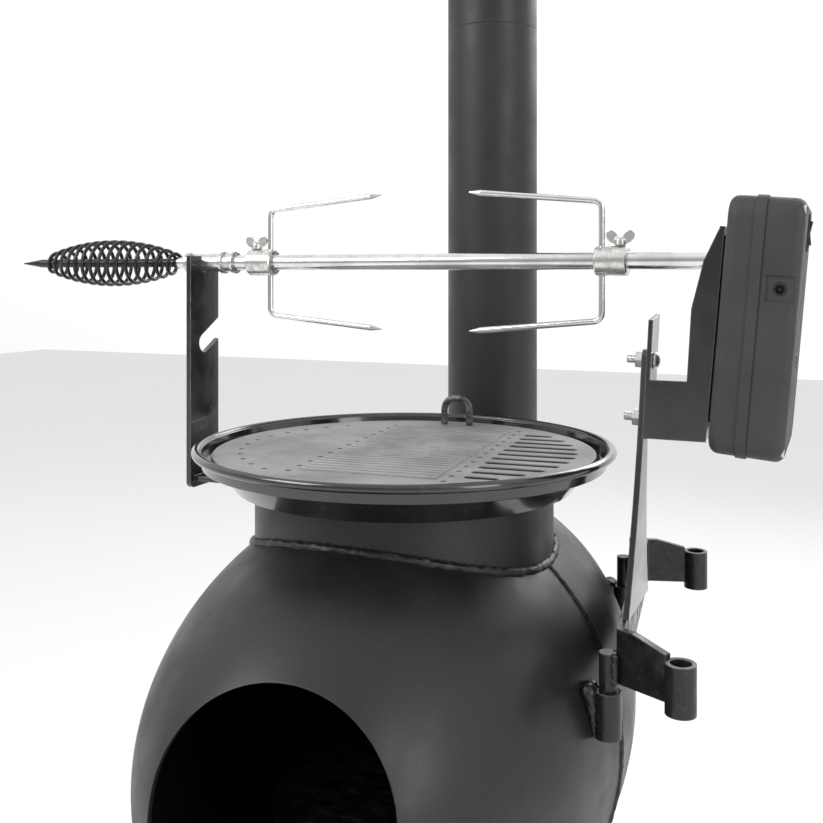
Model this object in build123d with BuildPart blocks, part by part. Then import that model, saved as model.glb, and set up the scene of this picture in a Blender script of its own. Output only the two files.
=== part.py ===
"""Pot-belly camp stove with a motor-driven spit roaster on top.

Frame: millimetres, +Z up, origin on the floor under the stove neck's axis.
The fire opening faces -Y, the chimney stands at +Y and the spit runs along X.
"""
import os
from math import atan, cos, degrees, pi, radians, sin, sqrt

from build123d import *

# ---- overall layout
rim_height = 640.0          # floor to the top of the drip tray's rim
spit_above_rim = 131.5      # tray rim to the spit's axis
neck_top_below_rim = 30.0   # tray rim to the top of the stove neck
body_gap = 0.3              # air left between pieces that lift apart

# ---- firebox: two spun domes welded together at an upright seam
belly_radius = 160.5
belly_centre_y = 8.0
belly_top_below_rim = 32.5
belly_behind_flue = 13.5    # chimney's rear to the belly's rear end
belly_seam_y = -5.0
belly_wall = 3.0
neck_radius = 108.5
neck_wall = 3.0

# ---- fire opening
door_radius = 72.0
door_centre_x = 12.0
door_arch_above_belly = 18.0
door_straight = 55.0

# ---- chimney
flue_radius = 40.5
flue_behind_tray = 5.5      # tray rim to the chimney
flue_wall = 1.5
flue_spigot_wall = 2.5
flue_slip = 0.5             # radial gap between a flue section and its spigot
flue_seat_below_rim = 60.0
flue_seat_thickness = 3.0
flue_seat_overhang = 1.5
flue_spigot_length = 45.0
lower_flue_length = 400.0
upper_flue_length = 300.0
flue_lip = 3.0              # plain overlap ring at a flue joint

# ---- fire grate, small enough to pass through the neck
grate_neck_gap = 9.5
grate_thickness = 6.0
grate_below_belly = 70.0
grate_slot_width = 8.0
grate_slot_pitch = 17.0
grate_foot_radius = 4.0
grate_foot_circle = 78.0
grate_foot_count = 3
grate_slots = 9

# ---- legs
leg_radius = 10.0
leg_stud_radius = 6.0
leg_stud_length = 18.0
leg_top_x = 92.0
leg_top_front_y = -85.0
leg_top_rear_y = 112.0
leg_splay = 14.0            # degrees from upright
boss_radius = 14.0
boss_length = 30.0
foot_radius = 17.0
foot_height = 14.0
foot_sole = 10.0            # rubber under the leg's end
foot_edge = 2.0
stud_hole_extra = 2.0

# ---- drip tray
tray_radius = 153.0
tray_depth = 30.0
tray_sheet = 2.0
tray_rim_roll = 3.0
tray_ledge_below_rim = 11.5
tray_ledge_width = 12.0
tray_dish_width = 31.0      # rim to the foot of the sloping wall
tray_ledge_fall = 1.0
tray_lip_radius = 82.0
tray_lip_height = 12.0
tray_skirt_depth = 9.0
tray_skirt_gap = 1.0

# ---- grill plate
plate_thickness = 6.0
plate_edge_gap = 2.0
plate_ledge_margin = 6.0
plate_edge_round = 1.5
plate_turn = 4.3            # degrees that the loose plate has been turned
plate_hole_radius = 2.2
plate_hole_circle = 119.0
plate_edge_holes = 12
plate_edge_first = 133.0
plate_edge_last = 239.0
hole_row_left = -44.0
hole_row_right = 62.0
hole_row_count = 13
hole_row_length = 204.0
slot_count = 11
slot_width = 8.0
slot_pitch = 17.0
slot_edge_margin = 13.0
slot_shortest = 1.5         # shortest slot, in slot widths
rib_count = 25
rib_width = 3.0
rib_height = 1.2
rib_pitch = 8.0
rib_end_gap = 6.0           # from a rib's end to the row of holes
loop_wire = 5.5
loop_width = 28.0
loop_height = 25.0
loop_y = 121.0
loop_x = -5.0
loop_bend = 0.42            # bend radius as a share of the loop's width

# ---- left support plate
left_plate_from_tray = 24.5 # tray rim to the middle of the sheet
left_plate_width = 38.0
left_plate_sheet = 4.0
left_plate_top = 5.5        # above the spit axis
left_plate_foot_below_rim = 46.0
left_foot_bend = 5.0
left_foot_margin = 5.0      # each side of the foot, inside the sheet's width
saddle_side_margin = 1.0
notch_clearance = 0.3
notch_drop = 64.0
notch_slope = 30.0
saddle_height = 26.0
saddle_bolt_radius = 3.0
saddle_bolt_angle = 6.5
saddle_head_stand_off = 0.4 # of a flat head from the curved saddle
saddle_nut_stand_off = 0.6

# ---- spit, its bearing sleeve and its handle
spit_radius = 6.0
spit_end_to_case = 9.0      # round bar's end to the case's inner face
spit_square = 8.4
spit_square_length = 21.0
spit_square_chamfer = 1.2
spit_past_plate = 6.5       # round bar's left end from the middle of the sheet
spit_neck_radius = 4.5
spit_neck_length = 16.0
running_gap = 0.08
sleeve_wall = 1.0
sleeve_past_plate = 6.0
sleeve_reach = 32.2         # inward from the middle of the sheet
sleeve_ring_height = 1.6
sleeve_ring_width = 2.2
sleeve_ring_pitch = 10.2
grip_washer_radius = 8.0
grip_washer_width = 3.0
grip_washer_gap = 7.0       # shoulder to the washer's far face
grip_core_radius = 3.5
grip_core_tail = 145.0
grip_point_length = 21.0
grip_tang_radius = 2.5
grip_tang_length = 10.0
grip_tang_end_gap = 0.5
grip_tip_radius = 0.4
coil_wire = 3.0
coil_turns = 15
coil_end_radius = 6.2
coil_mid_radius = 18.0
coil_length = 136.0
coil_fullness = 0.8         # below 1 fills the barrel out towards its ends
coil_points_per_turn = 10

# ---- meat forks
fork_left_from_plate = 63.5 # left sheet's middle to the left prongs
fork_right_from_end = 75.0  # right prongs to the round bar's end
collar_radius = 10.2
collar_length = 22.0
collar_nose = 4.0           # from the prongs to the collar's inner end
collar_chamfer = 1.0
prong_seat = 1.2            # how far a prong is let into the collar
prong_wire = 4.4
prong_reach = 87.0
prong_half_width = 40.5
prong_spread = 5.5          # degrees
prong_bend = 6.0
prong_point = 9.0
prong_tip_radius = 0.4
screw_from_prongs = 12.5
screw_radius = 2.5
screw_head_radius = 4.2
wing_span = 9.5
wing_rise = 9.0
wing_sheet = 2.2
wing_hub_share = 0.6        # of the rise; the next five shape the two ears
wing_hub_taper = 12.0
ear_place = 0.56
ear_height = 0.75
ear_half_width = 0.42
ear_turn = 38.0

# ---- leg bracket: bent bar with two pins, two socket tubes and the upright
lug_radius = 8.5
lug_length = 29.0
lug_top_below_rim = 137.0
pin_radius = 5.5
pin_top_below_rim = 113.0
front_lug_y = -50.0
rear_lug_y = 165.0
front_lug_gap = 2.5         # belly to the pin at the pin's lower end
rear_lug_gap = 2.0
pin_end_up = 3.0            # pin's lower end above the lug's
bar_sheet = 5.0
bar_top_below_rim = 98.0
bar_height = 34.0
tube_radius = 9.3
tube_bore = 6.5
tube_length = 30.0
tube_top_below_rim = 106.5
front_tube_from_bend = 39.5
front_tube_y = -67.5
rear_tube_from_bend = 39.0
rear_tube_y = 182.0
bend_from_tray = 15.5       # tray rim to the bar's front bend
bend_from_lug = 7.4
front_bend_y = -48.0
rear_bend_from_lug = 17.0
rear_bend_y = 170.0
arm_slope_start = 0.15      # share of an arm before its top edge slopes down
arm_slope_drop = 8.0
cut_over = 1.0              # cutting shapes stand this far proud

# ---- upright blade, leaning outward from the bar
upright_sheet = 4.0
upright_lean = 3.0          # degrees
upright_height = 172.0
upright_base_front_y = -32.0
upright_base_rear_y = 36.0
upright_mid_front_y = -20.0
upright_mid_rear_y = 13.0
upright_mid_height = 58.0
upright_top_front_y = -15.0
upright_top_rear_y = -1.0
upright_tip = 6.0

# ---- motor bracket, a folded sheet
fold_sheet = 3.0
fold_front_y = -19.0
fold_depth = 49.0
ear_depth = 25.0
fold_bottom_below_spit = 115.0
fold_shelf_below_spit = 77.0
fold_top_above_spit = 20.5
ear_top_below_spit = 38.0
ear_peak = 3.0
fold_corner = 12.0
fold_web_toe = 8.0          # web's edge at the spit, from the flange
fold_web_knee = 0.95
fold_knee_height = 0.4
fold_web_left = 26.0        # shelf, measured out from the upright
spit_hole_radius = 8.5
bolt_radius = 3.0
bolt_y = -8.0
bolt_upper_below_spit = 65.0
bolt_spacing = 38.0
bolt_head_radius = 5.6
bolt_head_height = 3.6
nut_across_flats = 10.0
nut_height = 4.5
bolt_tail = 6.0
bolt_dome_share = 0.7

# ---- motor case, leaning with the bracket's outer flange
case_from_bend = 61.5       # bar's front bend to the case's inner face
case_lean = 4.85            # degrees
case_lift = 0.5             # centres the leaning drive on the level spit
case_thickness = 44.0
case_width = 100.0
case_above_spit = 39.4
case_below_spit = 118.6
case_corner = 14.0
case_edge = 6.0
case_wall = 2.5
case_boss_height = 4.0
case_boss_above = 15.0
case_boss_below = 104.0
case_boss_width = 42.0
case_boss_shift = 2.0
case_screw_depth = 12.0
case_screw_recess = 2.0
screw_head_height = 1.6
screw_inset = 5.0           # case screws from the inner walls
post_inset = 6.0            # plate screws from the plate's edges
seam_band = 6.0
seam_raise = 1.0

# ---- gear train inside the case
gear_module = 1.25
output_teeth = 36
pinion_teeth = 12
gear_face = 6.0
gear_offset = 4.0           # case face to the gears
mesh_gap = 0.2
tooth_share = 0.42          # share of the pitch that a tooth fills
hub_radius = 9.0
hub_end = 16.0
stub_radius = 4.0
socket_gap = 1.3
socket_depth = 13.5
gear_plate_offset = 18.5
gear_plate_sheet = 2.0
gear_plate_from_case = 10.0 # each side
gear_plate_corner = 4.0
plate_screw_depth = 8.0
plate_screw_head = 1.9      # head radius over shank radius
gear_plate_above = 26.0
gear_plate_below = 46.0
gear_post_radius = 3.5
plate_screw_radius = 1.5
gear_motor_radius = 18.5
gear_motor_length = 18.5
motor_shaft_radius = 2.0
motor_shaft_past_plate = 4.0
motor_shaft_hole_gap = 1.5
motor_neck = 6.0            # full-width part of the motor next to the plate
motor_step = 2.0
motor_edge = 1.5
stub_past_plate = 1.0
root_bury = 0.8             # tooth flanks start this far inside the root circle
root_flare = 1.6
tip_share = 0.5
addendum = 0.9              # in modules
dedendum = 1.25

# ---- power and controls
jack_panel = 16.0
jack_below_spit = 15.4
jack_across = 33.3
jack_bore = 2.8
jack_pin_radius = 1.0
jack_depth = 9.0
jack_recess = 1.2
jack_rim = 1.4
jack_rim_gap = 0.1
jack_body_width = 9.0
jack_body_height = 11.0
jack_back = 1.5
jack_pin_short = 2.0
cell_radius = 13.1
cell_length = 50.0
cell_upper_below_spit = 66.0
cell_pitch = 28.0
cell_across = 22.0
cell_tip_length = 2.0
cell_tip_share = 0.3
contact_width = 12.0
contact_overhang = 14.0
contact_sheet = 0.8
contact_gap = 0.1
cradle_gap = 2.0            # from a cell's end to the cradle's wall
cradle_wall = 2.0
cradle_bore_gap = 0.2
cradle_relief = 6.0
battery_door_width = 62.0
battery_door_height = 60.0
door_gap = 0.5
door_grip_inset = 10.0
door_grip_pitch = 3.0
door_grip_length = 22.0
door_grip_width = 1.4
door_grip_rise = 0.6
switch_width = 13.0
switch_height = 19.0
switch_above_spit = 20.0
switch_wall = 1.0
switch_depth = 6.0
switch_lip = 2.0
switch_side_gap = 0.5
rocker_end_gap = 1.0
rocker_flank = 0.5
rocker_back = 1.5
rocker_high = 2.6
rocker_low = 1.4
rocker_pivot_radius = 1.1
rocker_pivot_half = 6.2
case_screw_radius = 1.6
case_screw_head = 3.2
screw_clearance = 0.2
plate_screw_clearance = 0.1

# ---- values worked out from the sizes above
neck_top_z = rim_height - neck_top_below_rim
belly_z = rim_height - belly_top_below_rim - belly_radius
flue_y = tray_radius + flue_behind_tray + flue_radius
belly_half_length = flue_y + flue_radius + belly_behind_flue - belly_centre_y
grate_radius = neck_radius - neck_wall - grate_neck_gap
left_plate_x = -tray_radius - left_plate_from_tray
spit_left_x = left_plate_x - spit_past_plate
sleeve_left_x = left_plate_x - sleeve_past_plate
sleeve_right_x = left_plate_x + sleeve_reach
spit_z = rim_height + spit_above_rim
plate_radius = tray_radius - tray_rim_roll * 2 - plate_edge_gap - plate_ledge_margin
plate_bottom_z = rim_height - tray_ledge_below_rim + body_gap
plate_top_z = plate_bottom_z + plate_thickness
os.makedirs("parts", exist_ok=True)


def save(builder, name):
    """Label a finished piece and write its STEP file."""
    builder.part.label = name
    export_step(builder.part, f"parts/{name}.step")


def belly_half_height(x, y, inset=0.0):
    """Height of the belly's surface above its centre line at a plan position."""
    reach = (y - belly_centre_y) / (belly_half_length - inset)
    ring = (belly_radius - inset) * sqrt(1 - reach ** 2)
    return sqrt(ring ** 2 - x ** 2)


def belly_reach(y, z):
    """Distance from the YZ plane to the belly's surface at a height."""
    ring = belly_half_height(0, y)
    return sqrt(ring ** 2 - (z - belly_z) ** 2)


# ---- places that follow the belly and the tray
pin_bottom_z = rim_height - lug_top_below_rim - lug_length + pin_end_up
front_lug_x = belly_reach(front_lug_y, pin_bottom_z) + front_lug_gap + pin_radius
rear_lug_x = belly_reach(rear_lug_y, pin_bottom_z) + rear_lug_gap + pin_radius
front_bend_x = max(front_lug_x + bend_from_lug, tray_radius + bend_from_tray)
rear_bend_x = rear_lug_x + rear_bend_from_lug
front_tube_x = front_bend_x + front_tube_from_bend
rear_tube_x = rear_bend_x + rear_tube_from_bend
case_face_x = front_bend_x + case_from_bend
spit_round_end_x = case_face_x - spit_end_to_case
fork_left_x = left_plate_x + fork_left_from_plate
fork_right_x = spit_round_end_x - fork_right_from_end
gear_plate_width = case_width - gear_plate_from_case * 2


# ---- planes that several pieces share
belly_plane = Plane(origin=(0, belly_centre_y, belly_z), x_dir=(0, 1, 0), z_dir=(1, 0, 0))
belly_axis = Axis((0, belly_centre_y, belly_z), (0, 1, 0))


def belly_solid(inset=0.0):
    """The belly's egg shape as one solid, used to trim what is welded to it."""
    with BuildPart(mode=Mode.PRIVATE) as egg:
        with BuildSketch(belly_plane):
            with BuildLine():
                EllipticalCenterArc((0, 0), belly_half_length - inset, belly_radius - inset, 0, arc_size=180)
                Line((belly_half_length - inset, 0), (inset - belly_half_length, 0))
            make_face()
        revolve(axis=belly_axis)
    return egg.part


belly_outside = belly_solid()
belly_inside = belly_solid(belly_wall)


def build_dome(name, keep):
    """One spun dome, open at the neck and at the flue or the fire opening."""
    with BuildPart() as dome:
        add(belly_outside)
        add(belly_inside, mode=Mode.SUBTRACT)
        with BuildSketch(Plane.XY.offset(belly_z)):
            Circle(neck_radius - neck_wall)
            with Locations((0, flue_y)):
                Circle(flue_radius - flue_wall - flue_slip - flue_spigot_wall)
        extrude(amount=belly_radius * 2, mode=Mode.SUBTRACT)
        with BuildSketch(Plane.XZ.offset(-belly_centre_y)):
            with Locations((door_centre_x, belly_z + door_arch_above_belly)):
                Circle(door_radius)
                Rectangle(door_radius * 2, door_straight, align=(Align.CENTER, Align.MAX))
        extrude(amount=belly_half_length * 2, mode=Mode.SUBTRACT)
        split(bisect_by=Plane.XZ.offset(-belly_seam_y), keep=keep)
    save(dome, name)


build_dome("firebox_front_dome", Keep.TOP)
build_dome("firebox_rear_dome", Keep.BOTTOM)


# ---- firebox pieces
with BuildPart() as neck_ring:
    with BuildSketch(Plane.XY.offset(belly_z)):
        Circle(neck_radius)
        Circle(neck_radius - neck_wall, mode=Mode.SUBTRACT)
    extrude(amount=neck_top_z - belly_z)
    add(belly_outside, mode=Mode.SUBTRACT)
    for turn in (-saddle_bolt_angle, saddle_bolt_angle):
        bolt_way = Plane(
            origin=(0, 0, rim_height - left_plate_foot_below_rim - saddle_height / 2),
            z_dir=(-cos(radians(turn)), sin(radians(turn)), 0),
        )
        with BuildSketch(bolt_way):
            Circle(saddle_bolt_radius)
        extrude(amount=neck_radius * 1.2, mode=Mode.SUBTRACT)
save(neck_ring, "neck_ring")

spigot_radius = flue_radius - flue_wall - flue_slip
flue_seat_z = rim_height - flue_seat_below_rim
with BuildPart() as flue_spigot:
    with BuildSketch(Plane.XY.offset(belly_z)):
        with Locations((0, flue_y)):
            Circle(spigot_radius)
    extrude(amount=flue_seat_z - belly_z + flue_seat_thickness + flue_spigot_length)
    with BuildSketch(Plane.XY.offset(flue_seat_z)):
        with Locations((0, flue_y)):
            Circle(flue_radius + flue_seat_overhang)
    extrude(amount=flue_seat_thickness)
    with BuildSketch(Plane.XY.offset(belly_z)):
        with Locations((0, flue_y)):
            Circle(spigot_radius - flue_spigot_wall)
    extrude(amount=belly_radius * 4, mode=Mode.SUBTRACT)
    add(belly_outside, mode=Mode.SUBTRACT)
save(flue_spigot, "flue_spigot")


def build_flue(name, bottom_z, length, has_spigot):
    """A flue section: a plain tube, with a stepped-in spigot when another sits on top."""
    with BuildPart() as flue:
        with BuildSketch(Plane.XY.offset(bottom_z)):
            with Locations((0, flue_y)):
                Circle(flue_radius)
                Circle(flue_radius - flue_wall, mode=Mode.SUBTRACT)
        extrude(amount=length)
        if has_spigot:
            with BuildSketch(Plane.XY.offset(bottom_z + length - flue_lip)):
                with Locations((0, flue_y)):
                    Circle(flue_radius)
                    Circle(spigot_radius - flue_spigot_wall, mode=Mode.SUBTRACT)
            extrude(amount=flue_lip)
            with BuildSketch(Plane.XY.offset(bottom_z + length)):
                with Locations((0, flue_y)):
                    Circle(spigot_radius)
                    Circle(spigot_radius - flue_spigot_wall, mode=Mode.SUBTRACT)
            extrude(amount=flue_spigot_length)
    save(flue, name)


lower_flue_z = flue_seat_z + flue_seat_thickness + body_gap
upper_flue_z = lower_flue_z + lower_flue_length + body_gap
build_flue("lower_flue", lower_flue_z, lower_flue_length, True)
build_flue("upper_flue", upper_flue_z, upper_flue_length, False)

grate_z = belly_z - grate_below_belly
with BuildPart() as fire_grate:
    with BuildSketch(Plane.XY.offset(grate_z)):
        Circle(grate_radius)
        with GridLocations(0, grate_slot_pitch, 1, grate_slots):
            SlotOverall(grate_radius, grate_slot_width, mode=Mode.SUBTRACT)
    extrude(amount=grate_thickness)
save(fire_grate, "fire_grate")

with BuildPart() as grate_feet:
    with BuildSketch(Plane.XY.offset(grate_z)):
        with PolarLocations(grate_foot_circle, grate_foot_count, start_angle=90):
            Circle(grate_foot_radius)
    extrude(amount=-belly_radius)
    add(belly_solid(belly_wall + body_gap * 2), mode=Mode.INTERSECT)
save(grate_feet, "grate_feet")

# ---- legs: bosses under the belly, screwed-in tubes and flat feet
leg_tops = [
    (side * leg_top_x, y, belly_z - belly_half_height(leg_top_x, y))
    for y in (leg_top_front_y, leg_top_rear_y)
    for side in (-1, 1)
]
leg_names = ["front_left", "front_right", "rear_left", "rear_right"]


def leg_plane(top):
    """Plane at a leg's top whose normal runs down along the splayed leg."""
    outward = Vector(top[0], top[1] - belly_centre_y, 0).normalized() * sin(radians(leg_splay))
    return Plane(origin=top, z_dir=(outward.X, outward.Y, -cos(radians(leg_splay))))


def build_leg(name, top):
    """A leg tube with its threaded stud, cut off inside its foot."""
    down = leg_plane(top)
    with BuildPart() as leg:
        with BuildSketch(down.offset(boss_length)):
            Circle(leg_radius)
        extrude(amount=(top[2] - foot_height / 2) / cos(radians(leg_splay)) - boss_length)
        with BuildSketch(down.offset(boss_length)):
            Circle(leg_stud_radius)
        extrude(amount=-leg_stud_length)
        with BuildSketch(Plane.XY):
            Rectangle(rim_height * 2, rim_height * 2)
        extrude(amount=foot_sole, mode=Mode.SUBTRACT)
    save(leg, "leg_" + name)


with BuildPart() as leg_bosses:
    for leg_top in leg_tops:
        with BuildSketch(leg_plane(leg_top).offset(-boss_length)):
            Circle(boss_radius)
        extrude(amount=boss_length * 2)
        with BuildSketch(leg_plane(leg_top).offset(boss_length)):
            Circle(leg_stud_radius)
        extrude(amount=-leg_stud_length - stud_hole_extra, mode=Mode.SUBTRACT)
    add(belly_outside, mode=Mode.SUBTRACT)
    with BuildSketch(Plane.XY.offset(belly_z)):
        Rectangle(belly_half_length * 3, belly_half_length * 3)
    extrude(amount=belly_radius * 2, mode=Mode.SUBTRACT)
save(leg_bosses, "leg_bosses")

for leg_name, leg_top in zip(leg_names, leg_tops):
    build_leg(leg_name, leg_top)

foot_spots = []
for leg_top in leg_tops:
    slope = leg_plane(leg_top).z_dir
    fall = (foot_height / 2 - leg_top[2]) / slope.Z
    foot_spots.append((leg_top[0] + slope.X * fall, leg_top[1] + slope.Y * fall))
with BuildPart() as leg_feet:
    with BuildSketch(Plane.XY):
        with Locations(*foot_spots):
            Circle(foot_radius)
    extrude(amount=foot_height)
    for leg_top in leg_tops:
        with BuildSketch(leg_plane(leg_top)):
            Circle(leg_radius)
        extrude(amount=leg_top[2] * 2, mode=Mode.SUBTRACT)
    with BuildSketch(Plane.XY):
        with Locations(*foot_spots):
            Circle(foot_radius)
    extrude(amount=foot_sole)
    fillet(leg_feet.edges().filter_by(GeomType.CIRCLE).group_by(Axis.Z)[0], foot_edge)
save(leg_feet, "leg_feet")

# ---- drip tray: spun sheet with a ledge for the grill plate and an open middle
ledge_outer = tray_radius - tray_rim_roll * 2 - tray_sheet / 2
ledge_z = rim_height - tray_ledge_below_rim - tray_sheet / 2
floor_z = rim_height - tray_depth + tray_sheet / 2 + body_gap
skirt_radius = neck_radius - neck_wall - tray_skirt_gap - tray_sheet / 2
with BuildPart() as drip_tray:
    with BuildSketch(Plane.XZ):
        with BuildLine():
            tray_run = Polyline(
                (tray_radius - tray_rim_roll * 2, rim_height - tray_rim_roll),
                (ledge_outer - tray_ledge_fall, ledge_z),
                (ledge_outer - tray_ledge_width, ledge_z),
                (tray_radius - tray_dish_width, floor_z),
                (tray_lip_radius, floor_z),
                (tray_lip_radius, floor_z + tray_lip_height),
            )
            offset(tray_run, amount=tray_sheet / 2, kind=Kind.ARC)
        make_face()
        with Locations((tray_radius - tray_rim_roll, rim_height - tray_rim_roll)):
            Circle(tray_rim_roll)
        with Locations((skirt_radius, floor_z)):
            Rectangle(tray_sheet, tray_skirt_depth, align=(Align.CENTER, Align.MAX))
    revolve(axis=Axis.Z)
save(drip_tray, "drip_tray")

# ---- grill plate: cast plate with holes, ribs and slots, and its lifting loop
plate_plane = Plane(
    origin=(0, 0, plate_bottom_z),
    x_dir=(cos(radians(plate_turn)), sin(radians(plate_turn)), 0),
    z_dir=(0, 0, 1),
)
with BuildPart() as grill_plate:
    with BuildSketch(plate_plane):
        Circle(plate_radius)
    extrude(amount=plate_thickness)
    fillet(grill_plate.edges().group_by(Axis.Z)[-1], plate_edge_round)
    with BuildSketch(plate_plane.offset(plate_thickness)):
        with Locations(((hole_row_left + hole_row_right) / 2, 0)):
            with GridLocations(0, rib_pitch, 1, rib_count):
                Rectangle(hole_row_right - hole_row_left - rib_end_gap * 2, rib_width)
    extrude(amount=rib_height)
    with BuildSketch(plate_plane):
        for row_x in (hole_row_left, hole_row_right):
            with Locations((row_x, 0)):
                with GridLocations(0, hole_row_length / (hole_row_count - 1), 1, hole_row_count):
                    Circle(plate_hole_radius)
        hole_step = (plate_edge_last - plate_edge_first) / (plate_edge_holes - 1)
        for index in range(plate_edge_holes):
            with Locations(Rotation(0, 0, plate_edge_first + index * hole_step)):
                with Locations((plate_hole_circle, 0)):
                    Circle(plate_hole_radius)
        for index in range(slot_count):
            slot_y = (index - (slot_count - 1) / 2) * slot_pitch
            slot_end = sqrt((plate_radius - slot_edge_margin) ** 2 - slot_y ** 2)
            slot_start = hole_row_right + slot_width
            slot_run = slot_end - slot_start
            if slot_run > slot_width * slot_shortest:
                with Locations(((slot_start + slot_end) / 2, slot_y)):
                    SlotOverall(slot_run, slot_width)
    extrude(amount=plate_thickness + rib_height, mode=Mode.SUBTRACT)
save(grill_plate, "grill_plate")

loop_plane = Plane(origin=(loop_x, loop_y, plate_top_z), x_dir=(1, 0, 0), z_dir=(0, -1, 0))
with BuildPart() as lifting_loop:
    with BuildLine(loop_plane) as loop_line:
        FilletPolyline(
            (-(loop_width - loop_wire) / 2, 0),
            (-(loop_width - loop_wire) / 2, loop_height - loop_wire / 2),
            ((loop_width - loop_wire) / 2, loop_height - loop_wire / 2),
            ((loop_width - loop_wire) / 2, 0),
            radius=(loop_width - loop_wire) * loop_bend,
        )
    with BuildSketch(Plane(loop_line.line @ 0, z_dir=loop_line.line % 0)):
        Circle(loop_wire / 2)
    sweep(path=loop_line.line)
save(lifting_loop, "lifting_loop")

# ---- left support plate: upright, foot and a curved saddle bolted to the neck
left_plane = Plane(
    origin=(left_plate_x - left_plate_sheet / 2, 0, spit_z), x_dir=(0, 1, 0), z_dir=(1, 0, 0)
)
notch_radius = spit_radius + running_gap + sleeve_wall + notch_clearance
foot_below_spit = spit_above_rim + left_plate_foot_below_rim
with BuildPart() as left_support:
    with BuildSketch(left_plane):
        with Locations((0, left_plate_top)):
            Rectangle(
                left_plate_width, left_plate_top + foot_below_spit, align=(Align.CENTER, Align.MAX)
            )
        for drop in (0, notch_drop):
            with Locations((0, -drop)):
                Circle(notch_radius, mode=Mode.SUBTRACT)
                Rectangle(
                    left_plate_width * 2,
                    notch_radius * 2,
                    rotation=notch_slope,
                    align=(Align.MIN, Align.CENTER),
                    mode=Mode.SUBTRACT,
                )
    extrude(amount=left_plate_sheet)
    fillet(left_support.edges().filter_by(Axis.X).group_by(Axis.Z)[0], left_foot_bend)
    with BuildSketch(Plane.XY.offset(spit_z - foot_below_spit + left_foot_bend)):
        with Locations((left_plate_x, 0)):
            Rectangle(
                -left_plate_x - neck_radius,
                left_plate_width - left_foot_margin * 2,
                align=(Align.MIN, Align.CENTER),
            )
    extrude(amount=left_plate_sheet)
    saddle_z = rim_height - left_plate_foot_below_rim
    with BuildSketch(Plane.XY.offset(saddle_z + left_foot_bend + left_plate_sheet)):
        Circle(neck_radius + left_plate_sheet)
        Circle(neck_radius, mode=Mode.SUBTRACT)
        with Locations((-neck_radius, 0)):
            Rectangle(
                neck_radius, left_plate_width - saddle_side_margin * 2, mode=Mode.INTERSECT
            )
    extrude(amount=-saddle_height - left_foot_bend)
    for turn in (-saddle_bolt_angle, saddle_bolt_angle):
        bolt_way = Plane(
            origin=(0, 0, saddle_z - saddle_height / 2),
            z_dir=(-cos(radians(turn)), sin(radians(turn)), 0),
        )
        with BuildSketch(bolt_way):
            Circle(saddle_bolt_radius)
        extrude(amount=neck_radius * 1.2, mode=Mode.SUBTRACT)
save(left_support, "left_support")

with BuildPart() as saddle_bolts:
    for turn in (-saddle_bolt_angle, saddle_bolt_angle):
        bolt_way = Plane(
            origin=(0, 0, saddle_z - saddle_height / 2),
            z_dir=(-cos(radians(turn)), sin(radians(turn)), 0),
        )
        with BuildSketch(bolt_way.offset(neck_radius - neck_wall - nut_height)):
            Circle(saddle_bolt_radius)
        extrude(amount=neck_wall + left_plate_sheet + nut_height)
        with BuildSketch(bolt_way.offset(neck_radius + left_plate_sheet + saddle_head_stand_off)):
            Circle(bolt_head_radius)
        extrude(amount=bolt_head_height)
        with BuildSketch(bolt_way.offset(neck_radius + left_plate_sheet)):
            Circle(saddle_bolt_radius)
        extrude(amount=saddle_head_stand_off)
        with BuildSketch(bolt_way.offset(neck_radius - neck_wall - nut_height - saddle_nut_stand_off)):
            RegularPolygon(nut_across_flats / 2, 6, major_radius=False)
        extrude(amount=nut_height)
save(saddle_bolts, "saddle_bolts")

# ---- spit: one round bar with a square drive end and a turned-down left neck
spit_plane = Plane(origin=(0, 0, spit_z), x_dir=(0, 1, 0), z_dir=(1, 0, 0))
with BuildPart() as spit_rod:
    with BuildSketch(spit_plane.offset(spit_left_x)):
        Circle(spit_radius)
    extrude(amount=spit_round_end_x - spit_left_x)
    with BuildSketch(spit_plane.offset(spit_round_end_x)):
        Rectangle(spit_square, spit_square)
    extrude(amount=spit_square_length)
    chamfer(spit_rod.faces().sort_by(Axis.X)[-1].edges(), spit_square_chamfer)
    with BuildSketch(spit_plane.offset(spit_left_x)):
        Circle(spit_neck_radius)
    extrude(amount=-spit_neck_length)
    with BuildSketch(spit_plane.offset(spit_left_x - spit_neck_length)):
        Circle(grip_tang_radius)
    extrude(amount=grip_tang_length, mode=Mode.SUBTRACT)
save(spit_rod, "spit_rod")

sleeve_bore = spit_radius + running_gap
sleeve_radius = sleeve_bore + sleeve_wall
with BuildPart() as bearing_sleeve:
    with BuildSketch(spit_plane.offset(sleeve_left_x)):
        Circle(sleeve_radius)
        Circle(sleeve_bore, mode=Mode.SUBTRACT)
    extrude(amount=sleeve_right_x - sleeve_left_x)
    for ring_x in (sleeve_right_x, sleeve_right_x - sleeve_ring_pitch):
        with BuildSketch(spit_plane.offset(ring_x)):
            Circle(sleeve_radius + sleeve_ring_height)
            Circle(sleeve_bore, mode=Mode.SUBTRACT)
        extrude(amount=-sleeve_ring_width)
save(bearing_sleeve, "bearing_sleeve")

# ---- handle: washer, dark core with a point, and a barrel-shaped wire coil
washer_x = spit_left_x - grip_washer_gap
with BuildPart() as grip_washer:
    with BuildSketch(spit_plane.offset(washer_x)):
        Circle(grip_washer_radius)
        Circle(spit_neck_radius, mode=Mode.SUBTRACT)
    extrude(amount=grip_washer_width)
save(grip_washer, "grip_washer")

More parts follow.
